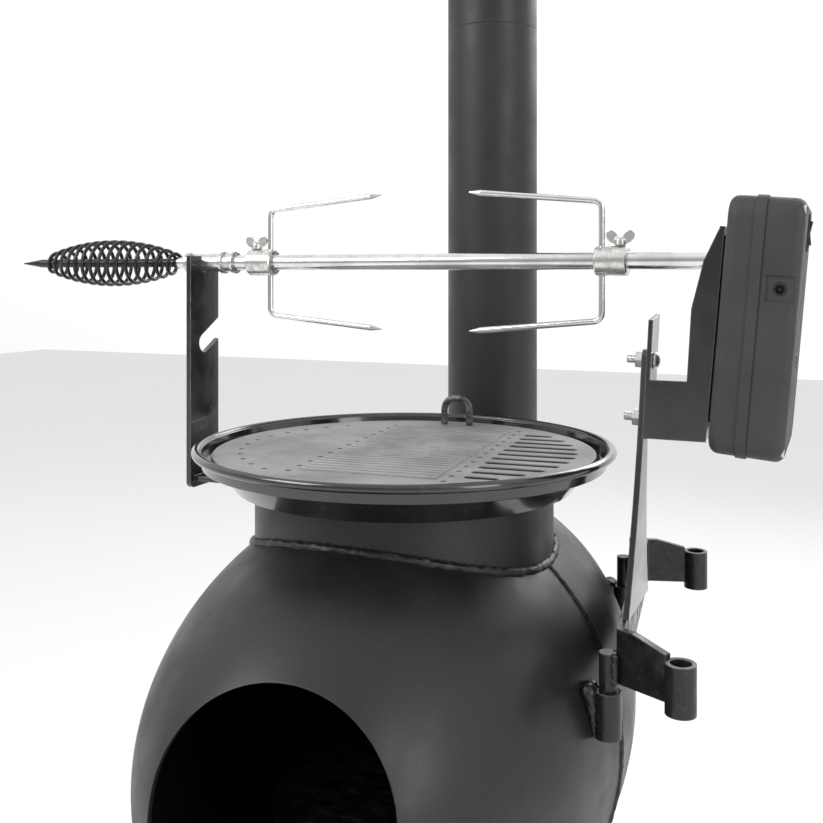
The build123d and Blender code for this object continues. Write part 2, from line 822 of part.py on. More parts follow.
core_start_x = spit_left_x - spit_neck_length
with BuildPart() as grip_core:
    with BuildSketch(spit_plane.offset(core_start_x)):
        Circle(grip_tang_radius)
    extrude(amount=grip_tang_length - grip_tang_end_gap)
    with BuildSketch(spit_plane.offset(core_start_x)):
        Circle(grip_core_radius)
    extrude(amount=-grip_core_tail)
    with BuildSketch(spit_plane.offset(core_start_x - grip_core_tail)):
        Circle(grip_core_radius)
    taper = degrees(atan((grip_core_radius - grip_tip_radius) / grip_point_length))
    extrude(amount=-grip_point_length, taper=taper)
    for end_x in (core_start_x, core_start_x - coil_length + coil_wire):
        with BuildSketch(spit_plane.offset(end_x)):
            Circle(coil_end_radius - coil_wire / 2)
        extrude(amount=-coil_wire)
save(grip_core, "grip_core")


def coil_point(share):
    """Point on the barrel-shaped coil, from 0 at the spit to 1 at the tip."""
    swell = sin(pi * share) ** coil_fullness if 0 < share < 1 else 0
    reach = coil_end_radius + (coil_mid_radius - coil_end_radius) * swell
    turn = 2 * pi * coil_turns * share
    along = core_start_x - coil_wire / 2 - (coil_length - coil_wire) * share
    return (along, reach * cos(turn), spit_z + reach * sin(turn))


coil_steps = coil_turns * coil_points_per_turn
with BuildPart() as coil_grip:
    with BuildLine() as coil_line:
        Spline([coil_point(index / coil_steps) for index in range(coil_steps + 1)])
    with BuildSketch(Plane(coil_line.line @ 0, z_dir=coil_line.line % 0)):
        Circle(coil_wire / 2)
    sweep(path=coil_line.line, is_frenet=True)
save(coil_grip, "coil_grip")


# ---- meat forks: a collar, two bent prongs and a wing screw each
def build_fork(side, prong_x, inward):
    """Write one fork's three pieces; inward is +1 when its prongs point along +X."""
    nose_x = prong_x + inward * collar_nose
    screw_x = prong_x - inward * screw_from_prongs
    prong_start = collar_radius - prong_seat
    with BuildPart() as collar:
        with BuildSketch(spit_plane.offset(nose_x)):
            Circle(collar_radius)
            Circle(spit_radius + running_gap, mode=Mode.SUBTRACT)
        extrude(amount=-inward * collar_length)
        rims = collar.edges().filter_by(GeomType.CIRCLE).sort_by(SortBy.RADIUS)[-2:]
        chamfer(rims, collar_chamfer)
        with BuildSketch(Plane(origin=(screw_x, 0, spit_z))):
            Circle(screw_radius + running_gap)
        extrude(amount=collar_radius * 1.5, mode=Mode.SUBTRACT)
        with BuildSketch(Plane(origin=(prong_x, 0, spit_z + prong_start))):
            Circle(prong_wire / 2)
        extrude(amount=collar_radius, mode=Mode.SUBTRACT)
        with BuildSketch(Plane(origin=(prong_x, 0, spit_z - prong_start))):
            Circle(prong_wire / 2)
        extrude(amount=-collar_radius, mode=Mode.SUBTRACT)
    save(collar, f"fork_{side}_collar")

    with BuildPart() as prongs:
        for rise in (1, -1):
            tip_x = prong_x + inward * prong_reach * cos(radians(prong_spread))
            tip_z = spit_z + rise * (prong_half_width + prong_reach * sin(radians(prong_spread)))
            with BuildLine(Plane.XZ) as prong_line:
                FilletPolyline(
                    (prong_x, spit_z + rise * prong_start),
                    (prong_x, spit_z + rise * prong_half_width),
                    (tip_x, tip_z),
                    radius=prong_bend,
                )
            with BuildSketch(Plane(prong_line.line @ 0, z_dir=prong_line.line % 0)):
                Circle(prong_wire / 2)
            sweep(path=prong_line.line)
            with BuildSketch(Plane(prong_line.line @ 1, z_dir=prong_line.line % 1)):
                Circle(prong_wire / 2)
            point_taper = degrees(atan((prong_wire / 2 - prong_tip_radius) / prong_point))
            extrude(amount=prong_point, taper=point_taper)
    save(prongs, f"fork_{side}_prongs")

    with BuildPart() as screw:
        with BuildSketch(Plane(origin=(screw_x, 0, spit_z + spit_radius + body_gap * 2))):
            Circle(screw_radius)
        extrude(amount=collar_radius - spit_radius)
        with BuildSketch(Plane(origin=(screw_x, 0, spit_z + collar_radius + body_gap * 2))):
            Circle(screw_head_radius)
        extrude(amount=wing_rise * wing_hub_share, taper=wing_hub_taper)
        ear_origin = (screw_x, wing_sheet / 2, spit_z)
        with BuildSketch(Plane(origin=ear_origin, x_dir=(1, 0, 0), z_dir=(0, -1, 0))):
            for lobe in (-1, 1):
                with Locations((lobe * wing_span * ear_place, collar_radius + wing_rise * ear_height)):
                    Ellipse(wing_span * ear_half_width, wing_rise / 2, rotation=-lobe * ear_turn)
        extrude(amount=wing_sheet)
    save(screw, f"fork_{side}_wing_screw")


build_fork("left", fork_left_x, 1)
build_fork("right", fork_right_x, -1)

# ---- lugs on the belly and the leg bracket whose pins drop into them
lug_places = ((front_lug_x, front_lug_y), (rear_lug_x, rear_lug_y))
with BuildPart() as bracket_lugs:
    with BuildSketch(Plane.XY.offset(rim_height - lug_top_below_rim)):
        with Locations(*lug_places):
            Circle(lug_radius)
    extrude(amount=-lug_length)
    add(belly_outside, mode=Mode.SUBTRACT)
    with BuildSketch(Plane.XY.offset(rim_height - lug_top_below_rim)):
        with Locations(*lug_places):
            Circle(pin_radius + running_gap)
    extrude(amount=-lug_length, mode=Mode.SUBTRACT)
save(bracket_lugs, "bracket_lugs")

with BuildPart() as bracket_pins:
    with BuildSketch(Plane.XY.offset(rim_height - pin_top_below_rim)):
        with Locations(*lug_places):
            Circle(pin_radius)
    extrude(amount=pin_bottom_z - (rim_height - pin_top_below_rim))
save(bracket_pins, "bracket_pins")

with BuildPart() as bracket_bar:
    with BuildSketch(Plane.XY.offset(rim_height - bar_top_below_rim)):
        with BuildLine():
            bar_run = Polyline(
                (front_tube_x, front_tube_y),
                (front_bend_x, front_bend_y),
                (rear_bend_x, rear_bend_y),
                (rear_tube_x, rear_tube_y),
            )
            offset(bar_run, amount=bar_sheet / 2)
        make_face()
        with BuildLine():
            stub_run = Line((rear_lug_x, rear_lug_y), (rear_bend_x, rear_bend_y))
            offset(stub_run, amount=bar_sheet / 2)
        make_face()
    extrude(amount=-bar_height)
    with BuildSketch(Plane.XY.offset(rim_height)):
        with Locations((front_tube_x, front_tube_y), (rear_tube_x, rear_tube_y)):
            Circle(tube_radius)
        with Locations(*lug_places):
            Circle(pin_radius)
    extrude(amount=-rim_height / 2, mode=Mode.SUBTRACT)
    for tube_x, tube_y, bend_x, bend_y in (
        (front_tube_x, front_tube_y, front_bend_x, front_bend_y),
        (rear_tube_x, rear_tube_y, rear_bend_x, rear_bend_y),
    ):
        arm = Vector(tube_x - bend_x, tube_y - bend_y)
        arm_plane = Plane(
            origin=(bend_x, bend_y, rim_height - bar_top_below_rim),
            x_dir=arm,
            z_dir=(arm.Y, -arm.X, 0),
        )
        with BuildSketch(arm_plane.offset(-bar_sheet * 2)):
            with BuildLine():
                Polyline(
                    (arm.length * arm_slope_start, cut_over),
                    (arm.length, -arm_slope_drop),
                    (arm.length, cut_over),
                    close=True,
                )
            make_face()
        extrude(amount=bar_sheet * 4, mode=Mode.SUBTRACT)
save(bracket_bar, "bracket_bar")

with BuildPart() as bracket_tubes:
    with BuildSketch(Plane.XY.offset(rim_height - tube_top_below_rim)):
        with Locations((front_tube_x, front_tube_y), (rear_tube_x, rear_tube_y)):
            Circle(tube_radius)
            Circle(tube_bore, mode=Mode.SUBTRACT)
    extrude(amount=-tube_length)
save(bracket_tubes, "bracket_tubes")

# ---- upright blade welded to the bar, leaning outward
upright_plane = Plane(
    origin=(front_bend_x - upright_sheet / 2, 0, rim_height - bar_top_below_rim),
    x_dir=(0, 1, 0),
    z_dir=(cos(radians(upright_lean)), 0, -sin(radians(upright_lean))),
)


def on_upright(height_above_spit):
    """Distance up the blade at which a height relative to the spit is reached."""
    return (spit_above_rim + bar_top_below_rim + height_above_spit) / cos(radians(upright_lean))


bolt_heights = (
    on_upright(-bolt_upper_below_spit),
    on_upright(-bolt_upper_below_spit - bolt_spacing),
)
with BuildPart() as upright:
    with BuildSketch(upright_plane):
        with BuildLine():
            Spline(
                (upright_base_front_y, 0),
                (upright_mid_front_y, upright_mid_height),
                (upright_top_front_y, upright_height - upright_tip),
            )
            ThreePointArc(
                (upright_top_front_y, upright_height - upright_tip),
                ((upright_top_front_y + upright_top_rear_y) / 2, upright_height),
                (upright_top_rear_y, upright_height - upright_tip),
            )
            Spline(
                (upright_top_rear_y, upright_height - upright_tip),
                (upright_mid_rear_y, upright_mid_height),
                (upright_base_rear_y, 0),
            )
            Line((upright_base_rear_y, 0), (upright_base_front_y, 0))
        make_face()
    extrude(amount=upright_sheet)
    with BuildSketch(upright_plane):
        with Locations(*[(bolt_y, height) for height in bolt_heights]):
            Circle(bolt_radius)
    extrude(amount=upright_sheet, mode=Mode.SUBTRACT)
save(upright, "upright")

# ---- motor case frame: normal points out of the case, local y runs up its leaning face
case_plane = Plane(
    origin=(case_face_x, 0, spit_z + case_lift),
    x_dir=(0, 1, 0),
    z_dir=(cos(radians(case_lean)), 0, -sin(radians(case_lean))),
)
case_axis = Axis(case_plane.origin, case_plane.z_dir)
flange_outer = -case_boss_height
flange_inner = flange_outer - fold_sheet
ear_plane = upright_plane.offset(upright_sheet)
ear_bottom = on_upright(-fold_bottom_below_spit)
ear_top = on_upright(-ear_top_below_spit)
fold_rear_y = fold_front_y + fold_depth


def on_plane(plane, height):
    """World x of a leaning plane at a height relative to the spit axis."""
    rise = spit_z + height - plane.origin.Z
    return plane.origin.X + rise * -plane.z_dir.Z / plane.z_dir.X


flange_plane = case_plane.offset(flange_inner)
with BuildPart() as motor_bracket:
    with BuildSketch(flange_plane):
        with BuildLine():
            Polyline(
                (fold_front_y, -fold_bottom_below_spit),
                (fold_rear_y, -fold_bottom_below_spit),
                (fold_rear_y, fold_top_above_spit - fold_corner),
                (fold_rear_y - fold_corner, fold_top_above_spit),
                (fold_front_y, fold_top_above_spit),
                close=True,
            )
        make_face()
        Circle(spit_hole_radius, mode=Mode.SUBTRACT)
    extrude(amount=fold_sheet)
    with BuildSketch(ear_plane):
        with BuildLine():
            Polyline(
                (fold_front_y, ear_bottom),
                (fold_front_y + ear_depth, ear_bottom),
                (fold_front_y + ear_depth, ear_top + ear_peak),
                (fold_front_y, ear_top),
                close=True,
            )
        make_face()
        with Locations(*[(bolt_y, height) for height in bolt_heights]):
            Circle(bolt_radius, mode=Mode.SUBTRACT)
    extrude(amount=fold_sheet)
    with BuildSketch(Plane(origin=(0, fold_front_y, spit_z), x_dir=(1, 0, 0), z_dir=(0, -1, 0))):
        with BuildLine():
            Polyline(
                (on_plane(ear_plane, -fold_bottom_below_spit), -fold_bottom_below_spit),
                (on_plane(ear_plane, -fold_shelf_below_spit), -fold_shelf_below_spit),
                (
                    on_plane(ear_plane, -fold_shelf_below_spit) + fold_web_left,
                    -fold_shelf_below_spit,
                ),
                (
                    on_plane(ear_plane, 0) + fold_web_left * fold_web_knee,
                    -fold_shelf_below_spit * fold_knee_height,
                ),
                (on_plane(flange_plane, 0) - fold_web_toe, 0),
                (on_plane(flange_plane, fold_top_above_spit), fold_top_above_spit),
                (
                    on_plane(flange_plane.offset(fold_sheet), fold_top_above_spit),
                    fold_top_above_spit,
                ),
                (
                    on_plane(flange_plane.offset(fold_sheet), -fold_bottom_below_spit),
                    -fold_bottom_below_spit,
                ),
                close=True,
            )
        make_face()
    extrude(amount=-fold_sheet)
save(motor_bracket, "motor_bracket")


def build_bolts(name, with_nut):
    """The two domed bolts through ear and upright, or their nuts."""
    with BuildPart() as bolts:
        for height in bolt_heights:
            head_plane = ear_plane.offset(fold_sheet)
            nut_plane = upright_plane.offset(-nut_height)
            if with_nut:
                with BuildSketch(nut_plane):
                    with Locations((bolt_y, height)):
                        RegularPolygon(nut_across_flats / 2, 6, major_radius=False)
                        Circle(bolt_radius, mode=Mode.SUBTRACT)
                extrude(amount=nut_height)
            else:
                with BuildSketch(head_plane):
                    with Locations((bolt_y, height)):
                        Circle(bolt_head_radius)
                extrude(amount=bolt_head_height)
                with BuildSketch(head_plane):
                    with Locations((bolt_y, height)):
                        Circle(bolt_radius)
                extrude(amount=-fold_sheet - upright_sheet - nut_height - bolt_tail)
        if not with_nut:
            tops = bolts.faces().filter_by(lambda face: face.normal_at().X > 0.9)
            rims = tops.group_by(Axis.X)[-1].edges() + tops.group_by(Axis.X)[-2].edges()
            dome_rims = rims.filter_by(lambda edge: edge.radius > bolt_radius)
            fillet(dome_rims, bolt_head_height * bolt_dome_share)
    save(bolts, name)


build_bolts("bracket_bolts", False)
build_bolts("bracket_nuts", True)

# ---- motor case halves
case_centre_y = (case_above_spit - case_below_spit) / 2
case_height = case_above_spit + case_below_spit
case_half = case_thickness / 2
post_spots = [
    (side * (gear_plate_width / 2 - post_inset), height)
    for side in (-1, 1)
    for height in (gear_plate_above - post_inset, post_inset - gear_plate_below)
]
corner_inset = case_wall + screw_inset
corner_spots = [
    (side * (case_width / 2 - corner_inset), height)
    for side in (-1, 1)
    for height in (case_above_spit - corner_inset, corner_inset - case_below_spit)
]


def case_outline(inset):
    """Rounded outline of the case, drawn in the case plane."""
    with Locations((0, case_centre_y)):
        RectangleRounded(
            case_width - inset * 2, case_height - inset * 2, case_corner - inset
        )


with BuildPart() as case_inner:
    with BuildSketch(case_plane):
        case_outline(0)
    extrude(amount=case_half)
    fillet(case_inner.faces().sort_by(case_axis)[0].edges(), case_edge)
    with BuildSketch(case_plane.offset(case_half - seam_band)):
        case_outline(-seam_raise)
    extrude(amount=seam_band)
    with BuildSketch(case_plane.offset(case_wall)):
        case_outline(case_wall)
    extrude(amount=case_thickness, mode=Mode.SUBTRACT)
    with BuildSketch(case_plane.offset(-case_boss_height)):
        boss_centre_y = fold_front_y + fold_depth / 2 + case_boss_shift
        with Locations((boss_centre_y, (case_boss_above - case_boss_below) / 2)):
            Rectangle(case_boss_width, case_boss_above + case_boss_below)
    extrude(amount=case_boss_height)
    with BuildSketch(case_plane.offset(case_wall)):
        with Locations(*post_spots):
            Circle(gear_post_radius)
    extrude(amount=gear_plate_offset - case_wall)
    with BuildSketch(case_plane.offset(case_wall)):
        with Locations(*corner_spots):
            Circle(gear_post_radius)
    extrude(amount=case_half - case_wall)
    with BuildSketch(case_plane.offset(-case_boss_height)):
        Circle(hub_radius + running_gap)
    extrude(amount=case_boss_height + case_wall, mode=Mode.SUBTRACT)
    with BuildSketch(case_plane.offset(gear_plate_offset)):
        with Locations(*post_spots):
            Circle(plate_screw_radius)
    extrude(amount=-plate_screw_depth, mode=Mode.SUBTRACT)
    with BuildSketch(case_plane.offset(case_half)):
        with Locations(*corner_spots):
            Circle(case_screw_radius)
    extrude(amount=-case_screw_depth, mode=Mode.SUBTRACT)
save(case_inner, "motor_case_inner")

jack_plane = Plane(
    origin=case_plane.from_local_coords((-case_width / 2, -jack_below_spit, jack_across)),
    x_dir=case_plane.z_dir,
    z_dir=(0, -1, 0),
)
door_centre = -cell_upper_below_spit - cell_pitch / 2
with BuildPart() as case_outer:
    with BuildSketch(case_plane.offset(case_half)):
        case_outline(0)
    extrude(amount=case_half)
    fillet(case_outer.faces().sort_by(case_axis)[-1].edges(), case_edge)
    with BuildSketch(case_plane.offset(case_half)):
        case_outline(case_wall)
    extrude(amount=case_half - case_wall, mode=Mode.SUBTRACT)
    with BuildSketch(case_plane.offset(case_half)):
        with Locations(*corner_spots):
            Circle(gear_post_radius)
    extrude(amount=case_half - case_wall)
    with BuildSketch(case_plane.offset(case_half)):
        with Locations(*corner_spots):
            Circle(case_screw_radius + screw_clearance)
    extrude(amount=case_half, mode=Mode.SUBTRACT)
    with BuildSketch(case_plane.offset(case_thickness - case_screw_recess)):
        with Locations(*corner_spots):
            Circle(case_screw_head + screw_clearance)
    extrude(amount=case_screw_recess, mode=Mode.SUBTRACT)
    with BuildSketch(case_plane.offset(case_half)):
        with Locations((0, door_centre)):
            Rectangle(battery_door_width, battery_door_height)
        with Locations((0, switch_above_spit)):
            Rectangle(switch_width + door_gap * 2, switch_height + door_gap * 2)
    extrude(amount=case_half, mode=Mode.SUBTRACT)
    with BuildSketch(jack_plane):
        Rectangle(jack_panel, jack_panel)
    extrude(amount=-jack_recess, mode=Mode.SUBTRACT)
    with BuildSketch(jack_plane):
        Circle(jack_bore + jack_rim)
    extrude(amount=-case_wall * 2, mode=Mode.SUBTRACT)
save(case_outer, "motor_case_outer")

with BuildPart() as case_screws:
    with BuildSketch(case_plane.offset(case_thickness - case_screw_recess)):
        with Locations(*corner_spots):
            Circle(case_screw_head)
    extrude(amount=screw_head_height)
    with BuildSketch(case_plane.offset(case_thickness - case_screw_recess)):
        with Locations(*corner_spots):
            Circle(case_screw_radius)
    extrude(amount=case_screw_recess - case_half - case_screw_depth + cut_over * 2)
save(case_screws, "case_screws")


# ---- gear train: straight-flanked teeth cut by a loop
def gear_outline(teeth, phase):
    """Toothed outline of a gear about the local origin; phase turns it, in degrees."""
    pitch_radius = gear_module * teeth / 2
    root_radius = pitch_radius - gear_module * dedendum
    tip_radius = pitch_radius + gear_module * addendum
    half_pitch = pi * gear_module * tooth_share / 2
    Circle(root_radius)
    with PolarLocations(0, teeth, start_angle=phase):
        Polygon(
            (root_radius - root_bury, half_pitch * root_flare),
            (pitch_radius, half_pitch),
            (tip_radius, half_pitch * tip_share),
            (tip_radius, -half_pitch * tip_share),
            (pitch_radius, -half_pitch),
            (root_radius - root_bury, -half_pitch * root_flare),
            align=None,
        )


mesh_distance = gear_module * (output_teeth + pinion_teeth) / 2 + mesh_gap
with BuildPart() as output_gear:
    with BuildSketch(case_plane.offset(gear_offset)):
        gear_outline(output_teeth, -90)
    extrude(amount=gear_face)
    with BuildSketch(case_plane.offset(body_gap)):
        Circle(hub_radius)
    extrude(amount=hub_end - body_gap)
    with BuildSketch(case_plane.offset(hub_end)):
        Circle(stub_radius)
    extrude(amount=gear_plate_offset + gear_plate_sheet - hub_end + stub_past_plate)
    with BuildSketch(case_plane.offset(body_gap)):
        Rectangle(spit_square + socket_gap * 2, spit_square + socket_gap * 2)
    extrude(amount=socket_depth, mode=Mode.SUBTRACT)
save(output_gear, "output_gear")

pinion_plane = Plane(
    origin=case_plane.from_local_coords((0, -mesh_distance, 0)),
    x_dir=case_plane.x_dir,
    z_dir=case_plane.z_dir,
)
with BuildPart() as pinion:
    with BuildSketch(pinion_plane.offset(gear_offset)):
        gear_outline(pinion_teeth, 90 + 180 / pinion_teeth)
    extrude(amount=gear_face)
    with BuildSketch(pinion_plane.offset(gear_offset)):
        Circle(motor_shaft_radius)
    extrude(amount=gear_plate_offset + gear_plate_sheet - gear_offset + motor_shaft_past_plate)
save(pinion, "drive_pinion")

with BuildPart() as gear_plate:
    with BuildSketch(case_plane.offset(gear_plate_offset)):
        with Locations((0, (gear_plate_above - gear_plate_below) / 2)):
            RectangleRounded(
                gear_plate_width, gear_plate_above + gear_plate_below, gear_plate_corner
            )
        Circle(stub_radius + running_gap, mode=Mode.SUBTRACT)
        with Locations((0, -mesh_distance)):
            Circle(motor_shaft_radius + motor_shaft_hole_gap, mode=Mode.SUBTRACT)
        with Locations(*post_spots):
            Circle(plate_screw_radius + plate_screw_clearance, mode=Mode.SUBTRACT)
    extrude(amount=gear_plate_sheet)
save(gear_plate, "gear_plate")

with BuildPart() as gear_plate_screws:
    with BuildSketch(case_plane.offset(gear_plate_offset + gear_plate_sheet)):
        with Locations(*post_spots):
            Circle(plate_screw_radius * plate_screw_head)
    extrude(amount=screw_head_height)
    with BuildSketch(case_plane.offset(gear_plate_offset + gear_plate_sheet)):
        with Locations(*post_spots):
            Circle(plate_screw_radius)
    extrude(amount=-plate_screw_depth)
save(gear_plate_screws, "gear_plate_screws")

motor_back = gear_plate_offset + gear_plate_sheet
with BuildPart() as gear_motor:
    with BuildSketch(pinion_plane.offset(motor_back)):
        Circle(gear_motor_radius)
        Circle(motor_shaft_radius + running_gap, mode=Mode.SUBTRACT)
    extrude(amount=gear_motor_length)
    with BuildSketch(pinion_plane.offset(motor_back + motor_neck)):
        Circle(gear_motor_radius - motor_step)
    extrude(amount=gear_motor_length - motor_neck)
    fillet(gear_motor.faces().sort_by(case_axis)[-1].edges(), motor_edge)
save(gear_motor, "gear_motor")

# ---- power: adaptor socket, two cells with contacts, battery door and switch
with BuildPart() as power_jack:
    with BuildSketch(jack_plane.offset(-jack_recess)):
        Circle(jack_bore + jack_rim - jack_rim_gap)
        Circle(jack_bore, mode=Mode.SUBTRACT)
    extrude(amount=-jack_depth)
    with BuildSketch(jack_plane.offset(-case_wall - jack_recess)):
        Rectangle(jack_body_width, jack_body_height)
        Circle(jack_bore, mode=Mode.SUBTRACT)
    extrude(amount=jack_recess - jack_depth)
    with BuildSketch(jack_plane.offset(-jack_recess - jack_depth)):
        Rectangle(jack_body_width, jack_body_height)
    extrude(amount=-jack_back)
    with BuildSketch(jack_plane.offset(-jack_recess - jack_depth)):
        Circle(jack_pin_radius)
    extrude(amount=jack_depth - jack_pin_short)
save(power_jack, "power_jack")

cell_spots = (-cell_upper_below_spit, -cell_upper_below_spit - cell_pitch)
with BuildPart() as battery_cells:
    for index, spot in enumerate(cell_spots):
        facing = 1 - 2 * index
        cell_plane = Plane(
            origin=case_plane.from_local_coords((-facing * cell_length / 2, spot, cell_across)),
            z_dir=(0, facing, 0),
        )
        with BuildSketch(cell_plane):
            Circle(cell_radius)
        extrude(amount=cell_length - cell_tip_length)
        with BuildSketch(cell_plane.offset(cell_length - cell_tip_length)):
            Circle(cell_radius * cell_tip_share)
        extrude(amount=cell_tip_length)
save(battery_cells, "battery_cells")

with BuildPart() as battery_contacts:
    for side in (-1, 1):
        contact_plane = Plane(
            origin=case_plane.from_local_coords(
                (side * (cell_length / 2 + contact_gap), sum(cell_spots) / 2, cell_across)
            ),
            x_dir=case_plane.z_dir,
            z_dir=(0, side, 0),
        )
        with BuildSketch(contact_plane):
            Rectangle(contact_width, cell_pitch + contact_overhang)
        extrude(amount=contact_sheet)
save(battery_contacts, "battery_contacts")

with BuildPart() as battery_cradle:
    with BuildSketch(case_plane.offset(case_wall)):
        with Locations((0, sum(cell_spots) / 2)):
            inner_length = cell_length + cradle_gap * 2
            inner_height = cell_pitch * 2 - cradle_wall
            Rectangle(inner_length + cradle_wall * 2, inner_height + cradle_wall * 2)
            Rectangle(inner_length, inner_height, mode=Mode.SUBTRACT)
    extrude(amount=cell_across - case_wall)
    for spot in cell_spots:
        with BuildSketch(
            Plane(
                origin=case_plane.from_local_coords((-cell_length, spot, cell_across)),
                z_dir=(0, 1, 0),
            )
        ):
            Circle(cell_radius + cradle_bore_gap)
        extrude(amount=cell_length * 2, mode=Mode.SUBTRACT)
    with BuildSketch(case_plane.offset(gear_plate_offset - cut_over)):
        with Locations((0, -mesh_distance - gear_motor_radius)):
            Rectangle(cell_length * 2, cradle_relief, align=(Align.CENTER, Align.MIN))
    extrude(amount=case_thickness, mode=Mode.SUBTRACT)
save(battery_cradle, "battery_cradle")

with BuildPart() as battery_door:
    with BuildSketch(case_plane.offset(case_thickness - case_wall)):
        with Locations((0, door_centre)):
            Rectangle(battery_door_width - door_gap * 2, battery_door_height - door_gap * 2)
    extrude(amount=case_wall)
    with BuildSketch(case_plane.offset(case_thickness)):
        with Locations((0, door_centre + battery_door_height / 2 - door_grip_inset)):
            with GridLocations(0, door_grip_pitch, 1, 3):
                SlotOverall(door_grip_length, door_grip_width)
    extrude(amount=door_grip_rise)
save(battery_door, "battery_door")

switch_plane = Plane(
    origin=case_plane.from_local_coords((0, switch_above_spit, case_thickness)),
    x_dir=case_plane.x_dir,
    z_dir=case_plane.z_dir,
)
rocker_half_width = switch_width / 2 - switch_wall - switch_side_gap
rocker_plane = Plane(
    origin=switch_plane.from_local_coords((-rocker_half_width, 0, 0)),
    x_dir=(switch_plane.y_dir.X, switch_plane.y_dir.Y, switch_plane.y_dir.Z),
    z_dir=(0, 1, 0),
)
pivot_plane = Plane(origin=switch_plane.origin, z_dir=(0, 1, 0))
switch_inner_width = switch_width - switch_wall * 2
switch_inner_height = switch_height - switch_wall * 2
with BuildPart() as switch_frame:
    with BuildSketch(switch_plane.offset(-switch_depth)):
        Rectangle(switch_width, switch_height)
        Rectangle(switch_inner_width, switch_inner_height, mode=Mode.SUBTRACT)
    extrude(amount=switch_depth + switch_wall)
    with BuildSketch(switch_plane):
        Rectangle(switch_width + switch_lip * 2, switch_height + switch_lip * 2)
        Rectangle(switch_inner_width, switch_inner_height, mode=Mode.SUBTRACT)
    extrude(amount=switch_wall)
    with BuildSketch(pivot_plane):
        Circle(rocker_pivot_radius + running_gap)
    extrude(amount=switch_width / 2, both=True, mode=Mode.SUBTRACT)
save(switch_frame, "switch_frame")

rocker_half_height = switch_inner_height / 2 - rocker_end_gap
with BuildPart() as switch_rocker:
    with BuildSketch(rocker_plane):
        with BuildLine():
            Polyline(
                (rocker_flank - rocker_half_height, -rocker_back),
                (-rocker_half_height, rocker_high),
                (0, rocker_low),
                (rocker_half_height, rocker_high),
                (rocker_half_height - rocker_flank, -rocker_back),
                close=True,
            )
        make_face()
    extrude(amount=rocker_half_width * 2)
    with BuildSketch(pivot_plane):
        Circle(rocker_pivot_radius)
    extrude(amount=rocker_pivot_half, both=True)
save(switch_rocker, "switch_rocker")
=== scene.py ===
from math import cos, pi, radians, sin, sqrt

import bmesh
import bpy
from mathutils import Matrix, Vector


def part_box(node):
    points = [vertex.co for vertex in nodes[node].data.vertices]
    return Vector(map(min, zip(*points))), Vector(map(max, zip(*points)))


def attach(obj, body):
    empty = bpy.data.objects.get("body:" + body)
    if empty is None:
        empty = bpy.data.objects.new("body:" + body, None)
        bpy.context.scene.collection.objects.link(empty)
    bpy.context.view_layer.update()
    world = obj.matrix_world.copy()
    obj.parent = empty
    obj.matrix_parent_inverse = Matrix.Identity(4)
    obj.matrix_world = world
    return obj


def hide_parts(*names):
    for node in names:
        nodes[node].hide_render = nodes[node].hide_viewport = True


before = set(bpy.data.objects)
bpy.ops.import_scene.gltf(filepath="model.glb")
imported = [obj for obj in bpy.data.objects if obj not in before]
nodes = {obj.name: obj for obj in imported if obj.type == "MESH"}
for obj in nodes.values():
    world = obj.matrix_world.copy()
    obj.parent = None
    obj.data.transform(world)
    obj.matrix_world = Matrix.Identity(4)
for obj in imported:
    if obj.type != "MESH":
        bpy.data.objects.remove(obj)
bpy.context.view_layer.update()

# ---------------------------------------------------------------------------------------
# Stove body: two spun steel domes welded at an upright seam, with a neck, a flue spigot
# and leg bosses welded on, all under heat-proof satin black paint that has gone a little
# dusty. The flue sections and legs are tubes under the same paint.


def new_finish(name, colour, metallic, roughness, specular=0.5):
    """A material with its shader's plain numbers set; patterns are linked in afterwards."""
    finish = bpy.data.materials.new(name)
    finish.use_nodes = True
    shader = finish.node_tree.nodes["Principled BSDF"]
    shader.inputs["Base Color"].default_value = (*colour, 1)
    shader.inputs["Metallic"].default_value = metallic
    shader.inputs["Roughness"].default_value = roughness
    shader.inputs["Specular IOR Level"].default_value = specular
    return finish, shader


def add_node(finish, kind, **values):
    """A shader node with its sockets or properties set by name."""
    node = finish.node_tree.nodes.new(kind)
    for key, value in values.items():
        if hasattr(node, key):
            setattr(node, key, value)
        else:
            node.inputs[key.replace("_", " ").title()].default_value = value
    return node


def join_up(finish, out_socket, in_socket):
    finish.node_tree.links.new(out_socket, in_socket)


def grain(finish, scale, detail=4.0, stretch=(1, 1, 1), roughness=0.5):
    """Noise in the piece's own object space; returns its value socket."""
    place = add_node(finish, "ShaderNodeTexCoord")
    turn = add_node(finish, "ShaderNodeMapping")
    turn.inputs["Scale"].default_value = stretch
    noise = add_node(finish, "ShaderNodeTexNoise", scale=scale, detail=detail, roughness=roughness)
    join_up(finish, place.outputs["Object"], turn.inputs["Vector"])
    join_up(finish, turn.outputs["Vector"], noise.inputs["Vector"])
    return noise.outputs["Fac"]


def spread(finish, value, low, high, start=0.35, stop=0.65):
    """Maps a noise value from start..stop to low..high."""
    ramp = add_node(finish, "ShaderNodeMapRange")
    for socket, number in zip(("From Min", "From Max", "To Min", "To Max"), (start, stop, low, high)):
        ramp.inputs[socket].default_value = number
    join_up(finish, value, ramp.inputs["Value"])
    return ramp.outputs["Result"]


def blend_colours(finish, share, first, second):
    """Mixes two colours, each a tuple or a socket, by a share socket."""
    mix = add_node(finish, "ShaderNodeMix", data_type="RGBA")
    join_up(finish, share, mix.inputs["Factor"])
    for socket, colour in ((mix.inputs[6], first), (mix.inputs[7], second)):
        if isinstance(colour, tuple):
            socket.default_value = (*colour, 1)
        else:
            join_up(finish, colour, socket)
    return mix.outputs[2]


